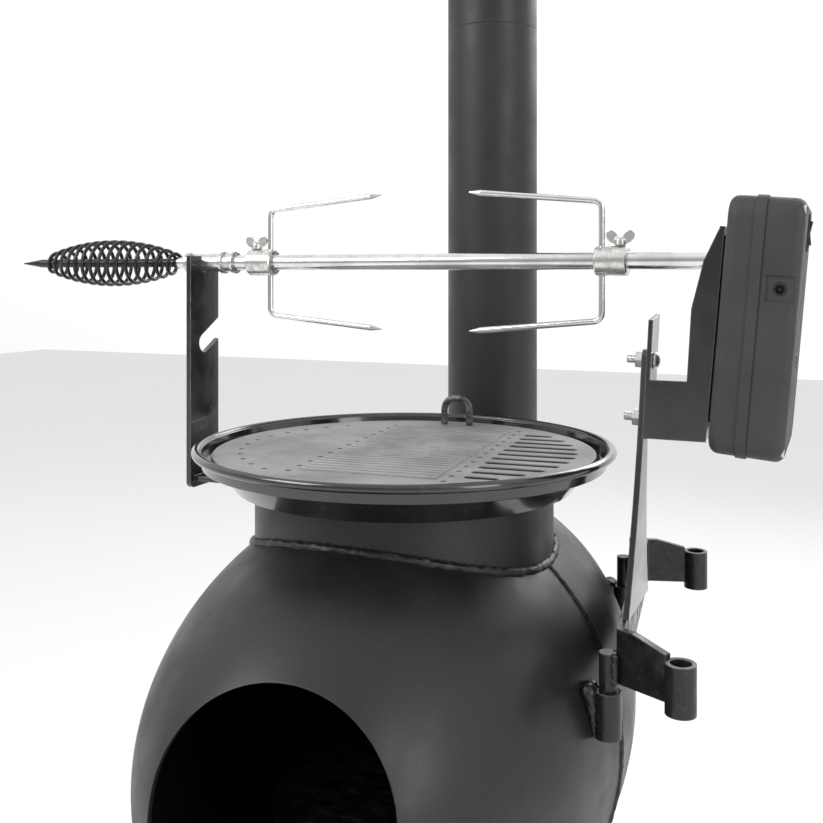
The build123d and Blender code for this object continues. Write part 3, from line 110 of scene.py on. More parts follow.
# Edge mask: used for edge wear, and in gloss_black for a painted edge highlight.
def edge_wear_and_highlight(finish, radius, amount):
    """Where a rounded copy of the normal leaves the true one: 1 on sharp edges, 0 on faces."""
    rounded = add_node(finish, "ShaderNodeBevel", samples=4, radius=radius)
    true = add_node(finish, "ShaderNodeNewGeometry")
    dot = add_node(finish, "ShaderNodeVectorMath", operation="DOT_PRODUCT")
    join_up(finish, rounded.outputs["Normal"], dot.inputs[0])
    join_up(finish, true.outputs["Normal"], dot.inputs[1])
    return spread(finish, dot.outputs["Value"], amount, 0.0, 0.86, 0.985)


def multiply(finish, first, second):
    product = add_node(finish, "ShaderNodeMath", operation="MULTIPLY")
    join_up(finish, first, product.inputs[0])
    join_up(finish, second, product.inputs[1])
    return product.outputs["Value"]


def surface_relief(finish, shader, height, strength, distance, edge_radius=0.0006):
    """Bump from a height socket, over edges that are softened by a small radius."""
    bump = add_node(finish, "ShaderNodeBump")
    bump.inputs["Strength"].default_value = strength
    bump.inputs["Distance"].default_value = distance
    rounded = add_node(finish, "ShaderNodeBevel", samples=4, radius=edge_radius)
    join_up(finish, height, bump.inputs["Height"])
    join_up(finish, rounded.outputs["Normal"], bump.inputs["Normal"])
    join_up(finish, bump.outputs["Normal"], shader.inputs["Normal"])


def dress(finish, *names):
    """Gives CAD nodes a finish in their own material slots."""
    for name in names:
        for slot in nodes[name].material_slots:
            slot.material = finish


def satin_black(name, colour, roughness, dust):
    """Sprayed heat-proof paint: fine orange peel, cloudy sheen, dust and rubbed edges."""
    finish, shader = new_finish(name, colour, 0.0, roughness, 0.45)
    clouds = grain(finish, 7.0, 5.0)
    specks = grain(finish, 620.0, 2.0)
    dusty = spread(finish, specks, 0.0, dust, 0.66, 0.76)
    deep = tuple(part * 0.72 for part in colour)
    tone = blend_colours(finish, spread(finish, clouds, 0.0, 1.0), deep, colour)
    tone = blend_colours(finish, dusty, tone, (0.075, 0.073, 0.07))
    rub = multiply(finish, edge_wear_and_highlight(finish, 0.0012, 0.75), spread(finish, grain(finish, 90.0), 0.2, 1.0))
    tone = blend_colours(finish, rub, tone, (0.09, 0.088, 0.085))
    join_up(finish, tone, shader.inputs["Base Color"])
    sheen_patches = spread(finish, grain(finish, 26.0, 6.0), roughness - 0.07, roughness + 0.1)
    join_up(finish, sheen_patches, shader.inputs["Roughness"])
    surface_relief(finish, shader, grain(finish, 1100.0, 2.0), 0.16, 0.0004, 0.001)
    return finish


stove_paint = satin_black("stove_paint", (0.013, 0.013, 0.014), 0.40, 0.35)
flue_paint = satin_black("flue_paint", (0.024, 0.024, 0.025), 0.46, 0.15)
dress(stove_paint, "firebox_front_dome", "firebox_rear_dome", "neck_ring", "leg_bosses")
dress(flue_paint, "flue_spigot", "lower_flue", "upper_flue")

# ---------------------------------------------------------------------------------------
# Weld beads on the stove: the lumpy run where the neck meets the domes, the ridge along
# the upright seam and the run round the flue's seat. Laid by hand and painted over.
mm = 0.001
belly_low, belly_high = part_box("firebox_rear_dome")
belly_radius = belly_high.x
belly_z = belly_low.z + belly_radius
belly_centre_y = 8 * mm
belly_half_length = belly_high.y - belly_centre_y
seam_y = belly_low.y
above_belly = belly_z + belly_radius + 20 * mm


def clear_selection():
    bpy.ops.object.select_all(action="DESELECT")


def only(piece):
    clear_selection()
    piece.select_set(True)
    bpy.context.view_layer.objects.active = piece


def start_piece(name):
    """Names the primitive that was just added and returns it."""
    piece = bpy.context.object
    piece.name = name
    return piece


def apply_modifier(piece, kind, **values):
    """Adds a modifier with its values set and applies it at once."""
    only(piece)
    modifier = piece.modifiers.new(kind.lower(), kind)
    for key, value in values.items():
        setattr(modifier, key, value)
    bpy.ops.object.modifier_apply(modifier=modifier.name)


def settle(piece, finish, body):
    """Applies the place, smooths by angle, gives the finish and fixes the piece to its body."""
    only(piece)
    bpy.ops.object.transform_apply(location=True, rotation=True, scale=True)
    bpy.ops.object.shade_smooth_by_angle(angle=radians(40))
    piece.data.materials.clear()
    piece.data.materials.append(finish)
    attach(piece, body)


def roughen(piece, size, height):
    """Pushes the surface in and out by cloudy noise, as cooled weld metal is."""
    clouds = bpy.data.textures.new(piece.name + "_lumps", "CLOUDS")
    clouds.noise_scale = size
    apply_modifier(
        piece, "DISPLACE", texture=clouds, texture_coords="GLOBAL", strength=height, mid_level=0.5
    )


def drop_onto_domes(ring):
    """Projects a level ring of points straight down onto the belly's skin."""
    for dome in ("firebox_front_dome", "firebox_rear_dome"):
        apply_modifier(
            ring,
            "SHRINKWRAP",
            wrap_method="PROJECT",
            use_project_z=True,
            use_negative_direction=True,
            use_positive_direction=False,
            target=nodes[dome],
        )


def lay_bead(path, thickness):
    """Turns a line of points into a round run of weld metal."""
    only(path)
    bpy.ops.object.convert(target="CURVE")
    path.data.bevel_depth = thickness
    path.data.bevel_resolution = 3
    path.data.use_fill_caps = True
    bpy.ops.object.convert(target="MESH")
    roughen(path, 3.2 * mm, thickness * 0.7)
    settle(path, stove_paint, "stove")


neck_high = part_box("neck_ring")[1]
clear_selection()
bpy.ops.mesh.primitive_circle_add(
    vertices=420, radius=neck_high.x + 0.8 * mm, location=(0, 0, above_belly)
)
neck_bead = start_piece("neck_weld_bead")
drop_onto_domes(neck_bead)
lay_bead(neck_bead, 3.0 * mm)

seat_low, seat_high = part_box("flue_spigot")
flue_y = (seat_low.y + seat_high.y) / 2
clear_selection()
bpy.ops.mesh.primitive_circle_add(
    vertices=180, radius=seat_high.x + 0.7 * mm, location=(0, flue_y, above_belly)
)
seat_bead = start_piece("flue_weld_bead")
drop_onto_domes(seat_bead)
lay_bead(seat_bead, 2.2 * mm)

clear_selection()
bpy.ops.mesh.primitive_circle_add(
    vertices=600, radius=belly_radius - 0.4 * mm, location=(0, seam_y, belly_z), rotation=(pi / 2, 0, 0)
)
seam_bead = start_piece("seam_weld_bead")
bpy.ops.object.transform_apply(location=True, rotation=True, scale=True)
bpy.ops.object.mode_set(mode="EDIT")
bpy.ops.mesh.select_all(action="DESELECT")
ring_points = bmesh.from_edit_mesh(seam_bead.data)
for point in ring_points.verts:
    point.select = abs(point.co.x) < neck_high.x + 1 * mm and point.co.z > belly_z
bmesh.update_edit_mesh(seam_bead.data)
bpy.ops.mesh.delete(type="VERT")
bpy.ops.object.mode_set(mode="OBJECT")
lay_bead(seam_bead, 1.9 * mm)

# ---------------------------------------------------------------------------------------
# Legs and feet: four painted tubes screwed into the bosses, each standing in a moulded
# black rubber foot, scuffed and dusty round its rim.
leg_paint = satin_black("leg_paint", (0.014, 0.014, 0.015), 0.38, 0.3)
dress(leg_paint, "leg_front_left", "leg_front_right", "leg_rear_left", "leg_rear_right")

foot_rubber, foot_shader = new_finish("foot_rubber", (0.022, 0.022, 0.022), 0.0, 0.78, 0.3)
scuffs = spread(foot_rubber, grain(foot_rubber, 140.0, 6.0), 0.0, 0.6, 0.5, 0.7)
foot_tone = blend_colours(foot_rubber, scuffs, (0.02, 0.02, 0.02), (0.09, 0.088, 0.083))
join_up(foot_rubber, foot_tone, foot_shader.inputs["Base Color"])
surface_relief(foot_rubber, foot_shader, grain(foot_rubber, 900.0, 3.0), 0.3, 0.0004, 0.0012)
dress(foot_rubber, "leg_feet")

# ---------------------------------------------------------------------------------------
# Fire grate: a slotted iron casting and its three feet, standing in the belly under the
# fire and coated with soot and grey ash.
fire_iron, fire_shader = new_finish("fire_iron", (0.03, 0.028, 0.026), 0.3, 0.85, 0.3)
ash = spread(fire_iron, grain(fire_iron, 60.0, 8.0, roughness=0.7), 0.0, 0.8, 0.45, 0.7)
fire_tone = blend_colours(fire_iron, ash, (0.022, 0.02, 0.018), (0.16, 0.15, 0.14))
join_up(fire_iron, fire_tone, fire_shader.inputs["Base Color"])
surface_relief(fire_iron, fire_shader, grain(fire_iron, 500.0, 6.0), 0.7, 0.001, 0.001)
dress(fire_iron, "fire_grate", "grate_feet")

# ---------------------------------------------------------------------------------------
# Drip tray: one spun steel pressing with a rolled rim and a ledge, dipped in gloss black
# enamel. Flame and handling leave a faint haze on the gloss.
tray_enamel, tray_shader = new_finish("tray_enamel", (0.009, 0.009, 0.010), 0.0, 0.13, 0.6)
tray_shader.inputs["Coat Weight"].default_value = 0.6
tray_shader.inputs["Coat Roughness"].default_value = 0.06
haze = spread(tray_enamel, grain(tray_enamel, 18.0, 6.0), 0.09, 0.26)
smears = spread(tray_enamel, grain(tray_enamel, 240.0, 3.0, (1, 1, 0.2)), 0.0, 0.5, 0.58, 0.75)
tray_tone = blend_colours(tray_enamel, smears, (0.008, 0.008, 0.009), (0.05, 0.05, 0.05))
chipped = multiply(tray_enamel, edge_wear_and_highlight(tray_enamel, 0.001, 0.5), smears)
tray_tone = blend_colours(tray_enamel, chipped, tray_tone, (0.3, 0.29, 0.28))
join_up(tray_enamel, haze, tray_shader.inputs["Roughness"])
join_up(tray_enamel, tray_tone, tray_shader.inputs["Base Color"])
surface_relief(tray_enamel, tray_shader, grain(tray_enamel, 160.0, 3.0), 0.08, 0.0006, 0.0008)
dress(tray_enamel, "drip_tray")

# ---------------------------------------------------------------------------------------
# Grill plate: a heavy grey iron casting with a rough sand-cast skin, drilled holes, low
# ribs and slots. Oil has darkened it in patches. Painted shade darkens the plate below the
# tops of the ribs and turns it near black down in the holes and slots.
cast_iron, cast_shader = new_finish("cast_plate", (0.13, 0.13, 0.132), 0.35, 0.6, 0.4)
seasoning = spread(cast_iron, grain(cast_iron, 16.0, 7.0, roughness=0.62), 0.0, 1.0, 0.38, 0.66)
pits = spread(cast_iron, grain(cast_iron, 520.0, 5.0, roughness=0.65), 0.0, 1.0, 0.4, 0.62)
cast_tone = blend_colours(cast_iron, seasoning, (0.24, 0.24, 0.243), (0.36, 0.36, 0.362))
cast_tone = blend_colours(cast_iron, multiply(cast_iron, pits, seasoning), cast_tone, (0.42, 0.42, 0.42))
cast_tone = blend_colours(cast_iron, edge_wear_and_highlight(cast_iron, 0.0012, 0.55), cast_tone, (0.36, 0.36, 0.36))
rib_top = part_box("grill_plate")[1].z
rib_rise = 1.2 * mm
plate_height = add_node(cast_iron, "ShaderNodeSeparateXYZ")
join_up(cast_iron, add_node(cast_iron, "ShaderNodeTexCoord").outputs["Object"], plate_height.inputs[0])
# Painted shade, by height: a share of darkening below the rib tops, and a near-black share deeper down in
# the holes and slots.
painted_shade_below_rib_tops = spread(
    cast_iron, plate_height.outputs["Z"], 0.3, 0.0, rib_top - rib_rise, rib_top - 0.2 * mm
)
painted_shade_in_holes = spread(
    cast_iron, plate_height.outputs["Z"], 1.0, 0.0, rib_top - rib_rise * 2, rib_top - rib_rise * 1.2
)
# Painted shade: mid grey below the rib tops, near black down in the holes and slots.
cast_tone = blend_colours(cast_iron, painted_shade_below_rib_tops, cast_tone, (0.13, 0.13, 0.132))
cast_tone = blend_colours(cast_iron, painted_shade_in_holes, cast_tone, (0.008, 0.008, 0.008))
join_up(cast_iron, cast_tone, cast_shader.inputs["Base Color"])
join_up(cast_iron, spread(cast_iron, pits, 0.48, 0.72, 0.0, 1.0), cast_shader.inputs["Roughness"])
surface_relief(cast_iron, cast_shader, grain(cast_iron, 420.0, 8.0, roughness=0.7), 0.55, 0.0007, 0.0012)
dress(cast_iron, "grill_plate")

loop_iron, loop_shader = new_finish("loop_iron", (0.11, 0.11, 0.11), 0.7, 0.42, 0.5)
loop_scale = spread(loop_iron, grain(loop_iron, 300.0, 6.0), 0.0, 1.0, 0.4, 0.65)
loop_tone = blend_colours(loop_iron, loop_scale, (0.07, 0.07, 0.07), (0.2, 0.2, 0.2))
join_up(loop_iron, loop_tone, loop_shader.inputs["Base Color"])
join_up(loop_iron, spread(loop_iron, loop_scale, 0.32, 0.55, 0.0, 1.0), loop_shader.inputs["Roughness"])
surface_relief(loop_iron, loop_shader, grain(loop_iron, 800.0, 4.0), 0.4, 0.0004)
dress(loop_iron, "lifting_loop")

# ---------------------------------------------------------------------------------------
# Left support, upright and motor bracket: laser-cut and folded sheet steel in gloss black
# enamel. A painted highlight runs along the cut edges in pale grey, broken up by noise.


def gloss_black(name, roughness, edge_highlight_tone):
    finish, shader = new_finish(name, (0.010, 0.010, 0.011), 0.0, roughness, 0.6)
    shader.inputs["Coat Weight"].default_value = 0.5
    shader.inputs["Coat Roughness"].default_value = 0.08
    patches = spread(finish, grain(finish, 34.0, 6.0), 0.0, 1.0)
    tone = blend_colours(finish, patches, (0.008, 0.008, 0.009), (0.022, 0.022, 0.023))
    # Painted highlight: pale grey laid along the sharp edges, broken up by noise.
    edge_highlight_breakup = spread(finish, grain(finish, 200.0), 0.35, 1.0)
    painted_edge_highlight = multiply(finish, edge_wear_and_highlight(finish, 0.0011, 0.95), edge_highlight_breakup)
    tone = blend_colours(finish, painted_edge_highlight, tone, edge_highlight_tone)
    join_up(finish, tone, shader.inputs["Base Color"])
    sheen = spread(finish, patches, roughness * 0.7, roughness * 1.5, 0.0, 1.0)
    join_up(finish, sheen, shader.inputs["Roughness"])
    surface_relief(finish, shader, grain(finish, 260.0, 4.0), 0.12, 0.0006, 0.0007)
    return finish


# The pale grey here is the colour of the painted edge highlight.
sheet_gloss = gloss_black("sheet_gloss", 0.16, (0.34, 0.34, 0.34))
dress(sheet_gloss, "left_support", "motor_bracket", "upright")

# ---------------------------------------------------------------------------------------
# Leg bracket: flat bar arms with thick tubes and pins welded on, and the two lugs on the
# belly that take the pins. Brushed-on satin black over spatter and grinding marks.
welded_bar, bar_shader = new_finish("welded_bar", (0.02, 0.02, 0.021), 0.0, 0.34, 0.5)
spatter = spread(welded_bar, grain(welded_bar, 240.0, 4.0), 0.0, 1.0, 0.55, 0.72)
bar_tone = blend_colours(welded_bar, spatter, (0.009, 0.009, 0.010), (0.024, 0.023, 0.022))
bar_rub = edge_wear_and_highlight(welded_bar, 0.0014, 0.8)
bar_tone = blend_colours(welded_bar, bar_rub, bar_tone, (0.13, 0.128, 0.125))
join_up(welded_bar, bar_tone, bar_shader.inputs["Base Color"])
bar_sheen = spread(welded_bar, grain(welded_bar, 70.0, 5.0), 0.24, 0.48)
join_up(welded_bar, bar_sheen, bar_shader.inputs["Roughness"])
surface_relief(welded_bar, bar_shader, grain(welded_bar, 210.0, 5.0), 0.35, 0.0012, 0.0012)
dress(welded_bar, "bracket_bar", "bracket_tubes", "bracket_lugs", "bracket_pins")


def weld_lumps(name, spots):
    """Overlapping drops of weld metal run together; each spot is (x, y, z, radius)."""
    drops = []
    for x, y, z, radius in spots:
        clear_selection()
        bpy.ops.mesh.primitive_ico_sphere_add(subdivisions=3, radius=radius, location=(x, y, z))
        drops.append(bpy.context.object)
    clear_selection()
    for drop in drops:
        drop.select_set(True)
    bpy.context.view_layer.objects.active = drops[0]
    bpy.ops.object.join()
    lumps = start_piece(name)
    bpy.ops.object.transform_apply(location=True, rotation=True, scale=True)
    apply_modifier(lumps, "REMESH", mode="VOXEL", voxel_size=0.5 * mm, use_smooth_shade=True)
    roughen(lumps, 2.2 * mm, 0.9 * mm)
    settle(lumps, welded_bar, "stove")


lug_low, lug_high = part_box("bracket_lugs")
pin_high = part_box("bracket_pins")[1]
lug_radius = 8.5 * mm
front_lug = Vector((lug_high.x - lug_radius, lug_low.y + lug_radius, 0))
rear_lug = Vector((lug_low.x + lug_radius, lug_high.y - lug_radius, 0))
lug_drops = []
pin_drops = []
for lug in (front_lug, rear_lug):
    ring_radius = belly_radius * sqrt(1 - ((lug.y - belly_centre_y) / belly_half_length) ** 2)
    for step in range(9):
        height = lug_low.z + (lug_high.z - lug_low.z) * (0.06 + step * 0.11)
        skin_x = sqrt(ring_radius ** 2 - (height - belly_z) ** 2)
        lug_side = lug.x - lug_radius
        gap = max(lug_side - skin_x, 0)
        for side in (-1, 1):
            sway = side * 3.4 * mm + 0.6 * mm * sin(step * 2.3)
            lug_drops.append(((skin_x + lug_side) / 2 + 0.6 * mm, lug.y + sway, height, gap / 2 + 2.3 * mm))
    for step in range(6):
        height = pin_high.z - (1.6 + step * 3.1) * mm
        sway = 0.8 * mm * sin(step * 1.9)
        pin_drops.append((lug.x + 4.8 * mm, lug.y - 3.2 * mm + sway, height, 2.4 * mm))
        pin_drops.append((lug.x + 3.6 * mm + sway, lug.y + 3.8 * mm, height, 2.2 * mm))
weld_lumps("lug_weld_beads", lug_drops)
weld_lumps("pin_weld_beads", pin_drops)

# ---------------------------------------------------------------------------------------
# Spit, prongs: polished round steel bar, drawn lengthwise so that faint lines run along
# it, with cloudy fingermarks and a little heat tint.


def polished_bar(name, stretch, roughness):
    finish, shader = new_finish(name, (0.78, 0.78, 0.79), 1.0, roughness)
    lines = grain(finish, 260.0, 3.0, stretch)
    marks = spread(finish, grain(finish, 40.0, 6.0), 0.0, 1.0, 0.42, 0.68)
    tone = blend_colours(finish, marks, (0.78, 0.78, 0.79), (0.56, 0.555, 0.54))
    join_up(finish, tone, shader.inputs["Base Color"])
    sheen = spread(finish, marks, roughness * 0.7, roughness * 2.0, 0.0, 1.0)
    join_up(finish, sheen, shader.inputs["Roughness"])
    surface_relief(finish, shader, lines, 0.06, 0.0003, 0.0005)
    return finish


spit_steel = polished_bar("spit_steel", (0.02, 1, 1), 0.10)
prong_steel = polished_bar("prong_steel", (0.1, 1, 1), 0.14)
dress(spit_steel, "spit_rod")
dress(prong_steel, "fork_left_prongs", "fork_right_prongs")

# ---------------------------------------------------------------------------------------
# Collars, sleeve and washer: turned and plated steel, bright but softer than the bar,
# with a crystalline bloom in the plating and paler corners.


def plated(name, tone, roughness):
    finish, shader = new_finish(name, tone, 0.95, roughness)
    bloom = spread(finish, grain(finish, 190.0, 5.0), 0.0, 1.0, 0.36, 0.66)
    dull = tuple(part * 0.62 for part in tone)
    colour = blend_colours(finish, bloom, tone, dull)
    colour = blend_colours(finish, edge_wear_and_highlight(finish, 0.0008, 0.5), colour, (0.9, 0.9, 0.9))
    join_up(finish, colour, shader.inputs["Base Color"])
    sheen = spread(finish, bloom, roughness * 0.75, roughness * 1.5, 0.0, 1.0)
    join_up(finish, sheen, shader.inputs["Roughness"])
    surface_relief(finish, shader, grain(finish, 620.0, 4.0), 0.22, 0.0004, 0.0007)
    return finish


collar_plate = plated("collar_plate", (0.74, 0.73, 0.71), 0.24)
fastener_plate = plated("fastener_plate", (0.7, 0.69, 0.66), 0.3)
dress(collar_plate, "bearing_sleeve", "grip_washer", "fork_left_collar", "fork_right_collar")
dress(fastener_plate, "saddle_bolts", "case_screws", "gear_plate_screws")

# ---------------------------------------------------------------------------------------
# Handle: a barrel-shaped coil of springy wire that stays cool, over a dark bar with a
# blunt point, both in black oxide that has rubbed to grey on the crowns of the wire.
coil_oxide, coil_shader = new_finish("coil_oxide", (0.018, 0.018, 0.018), 0.25, 0.32, 0.55)
rubbed = spread(coil_oxide, grain(coil_oxide, 120.0, 5.0), 0.0, 1.0, 0.52, 0.74)
coil_tone = blend_colours(coil_oxide, rubbed, (0.014, 0.014, 0.014), (0.07, 0.07, 0.07))
join_up(coil_oxide, coil_tone, coil_shader.inputs["Base Color"])
join_up(coil_oxide, spread(coil_oxide, rubbed, 0.26, 0.44, 0.0, 1.0), coil_shader.inputs["Roughness"])
surface_relief(coil_oxide, coil_shader, grain(coil_oxide, 900.0, 3.0), 0.2, 0.0003, 0.0004)
dress(coil_oxide, "coil_grip", "grip_core")

# ---------------------------------------------------------------------------------------
# Wing screws: hot-pressed and plated, with two thin rounded ears swept up from a conical
# hub. Each one locks a fork's collar to the spit.
collar_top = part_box("fork_left_collar")[1].z
wing_low, wing_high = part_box("fork_left_wing_screw")
middle_x = (wing_low.x + wing_high.x) / 2
stem_radius = 2.5 * mm
ear_half_width = 3.7 * mm
ear_half_height = 4.9 * mm
ear_thickness = 2.1 * mm
ear_reach = 5.4 * mm
ear_turn = radians(38)
clear_selection()
bpy.ops.mesh.primitive_cylinder_add(
    vertices=32,
    radius=stem_radius,
    depth=collar_top - wing_low.z,
    location=(middle_x, 0, (collar_top + wing_low.z) / 2),
)
left_wings = start_piece("left_wings")
bpy.ops.object.transform_apply(location=True, rotation=True, scale=True)
bpy.ops.object.mode_set(mode="EDIT")
bpy.ops.mesh.select_all(action="DESELECT")
shape = bmesh.from_edit_mesh(left_wings.data)
for face in shape.faces:
    face.select = face.normal.z > 0.9
bmesh.update_edit_mesh(left_wings.data)
hub_steps = [((0, 0, 0.5 * mm), 1.66, 0.5 * mm), ((0, 0, 3.6 * mm), 0.9, 4.1 * mm)]
hub_steps += [((0, 0, 1.6 * mm), 0.72, 5.7 * mm)]
for shift, share, rise_to in hub_steps:
    bpy.ops.mesh.extrude_region_move(TRANSFORM_OT_translate={"value": shift})
    bpy.ops.transform.resize(value=(share, share, 1), center_override=(middle_x, 0, collar_top + rise_to))
bpy.ops.object.mode_set(mode="OBJECT")
ears = []
for side in (-1, 1):
    clear_selection()
    bpy.ops.mesh.primitive_circle_add(
        vertices=40,
        radius=1,
        fill_type="NGON",
        location=(middle_x + side * ear_reach, ear_thickness / 2, wing_high.z - ear_half_height),
        rotation=(pi / 2, side * ear_turn, 0),
    )
    ear = bpy.context.object
    ear.scale = (ear_half_width, ear_half_height, 1)
    bpy.ops.object.transform_apply(location=True, rotation=True, scale=True)
    bpy.ops.object.mode_set(mode="EDIT")
    bpy.ops.mesh.select_all(action="SELECT")
    bpy.ops.mesh.extrude_region_move(TRANSFORM_OT_translate={"value": (0, -ear_thickness, 0)})
    bpy.ops.mesh.select_all(action="SELECT")
    bpy.ops.mesh.normals_make_consistent(inside=False)
    bpy.ops.object.mode_set(mode="OBJECT")
    ears.append(ear)
clear_selection()
for part in (left_wings, *ears):
    part.select_set(True)
bpy.context.view_layer.objects.active = left_wings
bpy.ops.object.join()
apply_modifier(left_wings, "REMESH", mode="VOXEL", voxel_size=0.3 * mm, use_smooth_shade=True)
apply_modifier(left_wings, "SMOOTH", factor=0.5, iterations=4)
only(left_wings)
bpy.ops.object.duplicate()
right_wings = start_piece("right_wings")
right_low, right_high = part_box("fork_right_wing_screw")
right_wings.location.x += (right_low.x + right_high.x) / 2 - middle_x
settle(left_wings, fastener_plate, "left_wing_screw")
settle(right_wings, fastener_plate, "right_wing_screw")
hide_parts("fork_left_wing_screw")
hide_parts("fork_right_wing_screw")

# ---------------------------------------------------------------------------------------
# Bracket bolts and nuts: M6 domed screws through the folded sheet and the upright, with
# plated hexagon nuts on the left and bare thread standing out past them.
blade_lean = radians(3.0)
head_height = 3.6 * mm
bolt_spacing = 38 * mm
shank_length = 17.5 * mm
thread_pitch = 1.0 * mm
bolt_low, bolt_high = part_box("bracket_bolts")
bolt_y = (bolt_low.y + bolt_high.y) / 2
head_radius = (bolt_high.y - bolt_low.y) / 2
upper_seat = Vector(
    (bolt_high.x - head_height * cos(blade_lean), bolt_y, bolt_high.z - head_radius * cos(blade_lean))
)
down_the_blade = Vector((-sin(blade_lean), 0, -cos(blade_lean)))

clear_selection()
bpy.ops.mesh.primitive_circle_add(vertices=32, radius=1.9 * mm, fill_type="NGON", rotation=(0, pi / 2, 0))
bolt = start_piece("bracket_screws")
bpy.ops.object.transform_apply(location=True, rotation=True, scale=True)
outline = [(1.7 * mm, 1.9 * mm), (1.7 * mm, 2.2 * mm), (3.55 * mm, 2.3 * mm), (3.4 * mm, 3.1 * mm)]
outline += [(2.8 * mm, 4.3 * mm), (1.7 * mm, 5.2 * mm), (0.8 * mm, head_radius), (0, head_radius)]
outline += [(0, 3.0 * mm), (-10.6 * mm, 3.0 * mm)]
ridges = 6
for ridge in range(ridges):
    root_x = -11.2 * mm - ridge * thread_pitch
    outline += [(root_x, 2.5 * mm), (root_x - thread_pitch / 2, 2.98 * mm)]
outline += [(-shank_length, 2.3 * mm)]
bpy.ops.object.mode_set(mode="EDIT")
bpy.ops.mesh.select_all(action="SELECT")
bpy.ops.transform.translate(value=(outline[0][0], 0, 0))
last_x, last_radius = outline[0]
for along, radius in outline[1:]:
    bpy.ops.mesh.extrude_region_move(TRANSFORM_OT_translate={"value": (along - last_x, 0, 0)})
    share = radius / last_radius
    bpy.ops.transform.resize(value=(1, share, share), center_override=(along, 0, 0))
    last_x, last_radius = along, radius
bpy.ops.mesh.select_all(action="SELECT")
bpy.ops.mesh.normals_make_consistent(inside=False)
bpy.ops.object.mode_set(mode="OBJECT")
bolt.rotation_euler = (0, blade_lean, 0)
bolt.location = upper_seat
bpy.ops.object.transform_apply(location=True, rotation=True, scale=True)
only(bolt)
bpy.ops.object.duplicate()
lower_bolt = bpy.context.object
lower_bolt.location = down_the_blade * bolt_spacing
bolt.select_set(True)
bpy.context.view_layer.objects.active = bolt
bpy.ops.object.join()
settle(bolt, fastener_plate, "stove")
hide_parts("bracket_bolts")
dress(fastener_plate, "bracket_nuts")

# ---------------------------------------------------------------------------------------
# Motor case: two moulded halves in dark grey plastic with a fine spark texture, a raised
# band at the seam and a square recess for the adaptor socket.
case_plastic, case_shader = new_finish("case_plastic", (0.040, 0.041, 0.042), 0.0, 0.58, 0.36)
mould_clouds = spread(case_plastic, grain(case_plastic, 22.0, 5.0), 0.0, 1.0)
case_tone = blend_colours(case_plastic, mould_clouds, (0.034, 0.035, 0.036), (0.047, 0.048, 0.049))
case_rub = edge_wear_and_highlight(case_plastic, 0.0012, 0.35)
case_tone = blend_colours(case_plastic, case_rub, case_tone, (0.09, 0.09, 0.092))
join_up(case_plastic, case_tone, case_shader.inputs["Base Color"])
case_sheen = spread(case_plastic, grain(case_plastic, 60.0, 4.0), 0.48, 0.62)
join_up(case_plastic, case_sheen, case_shader.inputs["Roughness"])
surface_relief(case_plastic, case_shader, grain(case_plastic, 1500.0, 3.0), 0.5, 0.0004, 0.0012)
dress(case_plastic, "motor_case_inner", "motor_case_outer", "battery_door")
dress(case_plastic, "battery_cradle", "switch_frame")

socket_black, socket_shader = new_finish("socket_black", (0.012, 0.012, 0.012), 0.0, 0.24, 0.5)
socket_marks = spread(socket_black, grain(socket_black, 320.0, 4.0), 0.18, 0.34)
join_up(socket_black, socket_marks, socket_shader.inputs["Roughness"])
socket_tone = blend_colours(socket_black, grain(socket_black, 90.0), (0.01, 0.01, 0.01), (0.03, 0.03, 0.03))
join_up(socket_black, socket_tone, socket_shader.inputs["Base Color"])
surface_relief(socket_black, socket_shader, grain(socket_black, 700.0, 2.0), 0.15, 0.0003, 0.0004)
dress(socket_black, "power_jack", "switch_rocker")

# ---------------------------------------------------------------------------------------
# Drive inside the case: acetal gears, a sheet steel plate, the plated geared motor, and
# the two cells with their sprung brass contacts.
gear_acetal, gear_shader = new_finish("gear_acetal", (0.78, 0.76, 0.69), 0.0, 0.42, 0.5)
gear_shader.inputs["Subsurface Weight"].default_value = 0.1
gear_tone = blend_colours(gear_acetal, grain(gear_acetal, 60.0, 5.0), (0.8, 0.78, 0.71), (0.66, 0.63, 0.55))
join_up(gear_acetal, gear_tone, gear_shader.inputs["Base Color"])
surface_relief(gear_acetal, gear_shader, grain(gear_acetal, 500.0, 3.0), 0.15, 0.0003, 0.0004)
dress(gear_acetal, "output_gear", "drive_pinion")
dress(plated("plate_steel", (0.56, 0.56, 0.56), 0.36), "gear_plate")
dress(plated("motor_can", (0.6, 0.6, 0.61), 0.28), "gear_motor")
dress(plated("contact_brass", (0.72, 0.58, 0.28), 0.28), "battery_contacts")

cell_sleeve, cell_shader = new_finish("cell_sleeve", (0.05, 0.14, 0.10), 0.0, 0.26, 0.5)
cell_clouds = grain(cell_sleeve, 30.0, 4.0)
cell_tone = blend_colours(cell_sleeve, cell_clouds, (0.04, 0.12, 0.09), (0.08, 0.19, 0.14))
join_up(cell_sleeve, cell_tone, cell_shader.inputs["Base Color"])
cell_sheen = spread(cell_sleeve, grain(cell_sleeve, 200.0), 0.2, 0.36)
join_up(cell_sleeve, cell_sheen, cell_shader.inputs["Roughness"])
surface_relief(cell_sleeve, cell_shader, grain(cell_sleeve, 300.0, 3.0), 0.12, 0.0003, 0.0006)
dress(cell_sleeve, "battery_cells")

# ---------------------------------------------------------------------------------------
# Studio: a pale floor, three soft lamps, and a surround that is white above and behind
# the roaster and dimmer in front, so that black enamel stays black with bright outlines.
clear_selection()
bpy.ops.mesh.primitive_plane_add(size=14, location=(0, 0, -0.0005))
floor = start_piece("floor")
floor_finish, floor_shader = new_finish("floor_paper", (0.78, 0.78, 0.78), 0.0, 0.8, 0.2)
floor_tone = blend_colours(floor_finish, grain(floor_finish, 2.0), (0.77, 0.77, 0.77), (0.79, 0.79, 0.79))
join_up(floor_finish, floor_tone, floor_shader.inputs["Base Color"])
floor.data.materials.append(floor_finish)

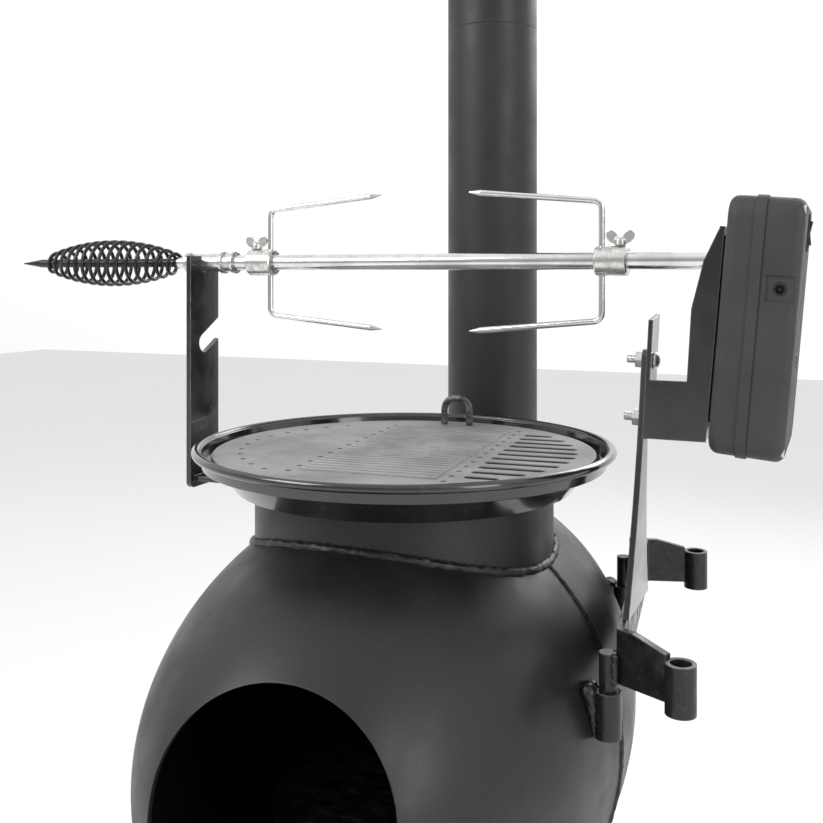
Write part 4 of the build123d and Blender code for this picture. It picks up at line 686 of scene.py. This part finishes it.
world = bpy.data.worlds.new("studio")
bpy.context.scene.world = world
world.use_nodes = True
surround = world.node_tree.nodes["Background"]
surround.inputs["Color"].default_value = (1.0, 1.0, 1.0, 1)
direction = world.node_tree.nodes.new("ShaderNodeTexCoord")
lean = world.node_tree.nodes.new("ShaderNodeVectorMath")
lean.operation = "DOT_PRODUCT"
lean.inputs[1].default_value = (0, 0.75, 1.0)
fade = world.node_tree.nodes.new("ShaderNodeMapRange")
fade.interpolation_type = "SMOOTHSTEP"
for socket, value in (("From Min", -0.6), ("From Max", 0.75), ("To Min", 0.42), ("To Max", 1.05)):
    fade.inputs[socket].default_value = value
world.node_tree.links.new(direction.outputs["Generated"], lean.inputs[0])
world.node_tree.links.new(lean.outputs["Value"], fade.inputs["Value"])
world.node_tree.links.new(fade.outputs["Result"], surround.inputs["Strength"])
bpy.context.scene.view_settings.view_transform = "Standard"


def soft_lamp(name, place, target, size, power):
    lamp = bpy.data.lights.new(name, "AREA")
    lamp.shape = "RECTANGLE"
    lamp.size, lamp.size_y = size
    lamp.energy = power
    stand = bpy.data.objects.new(name, lamp)
    bpy.context.collection.objects.link(stand)
    stand.location = place
    stand.rotation_mode = "QUATERNION"
    stand.rotation_quaternion = (Vector(target) - Vector(place)).to_track_quat("-Z", "Y")
    return stand


soft_lamp("key_lamp", (-1.4, -1.6, 2.1), (0, 0, 0.6), (1.2, 1.2), 34)
soft_lamp("fill_lamp", (1.9, -1.0, 1.2), (0.1, 0, 0.6), (0.7, 1.6), 13)
soft_lamp("rim_lamp", (0.6, 2.0, 1.8), (0, 0, 0.7), (1.6, 0.8), 18)

# ---------------------------------------------------------------------------------------
# Camera: held level, a hand's breadth above the tray's rim and to the right of the front.
# The frame is shifted down so that upright lines stay upright.
rim_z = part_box("drip_tray")[1].z
heading = radians(23.5)
stand_off = 0.735
side_step = 0.0052
rise = 0.1238
lens_length = 43.8
camera = bpy.data.cameras.new("camera")
camera.lens = lens_length
camera.sensor_width = 36.0
camera.shift_y = -0.169
camera.clip_start = 0.01
camera_stand = bpy.data.objects.new("camera", camera)
bpy.context.collection.objects.link(camera_stand)
sight = Vector((-sin(heading), cos(heading), 0))
beside = Vector((cos(heading), sin(heading), 0))
camera_stand.location = Vector((0, 0, rim_z + rise)) - sight * stand_off + beside * side_step
camera_stand.rotation_euler = (pi / 2, 0, heading)
bpy.context.scene.camera = camera_stand
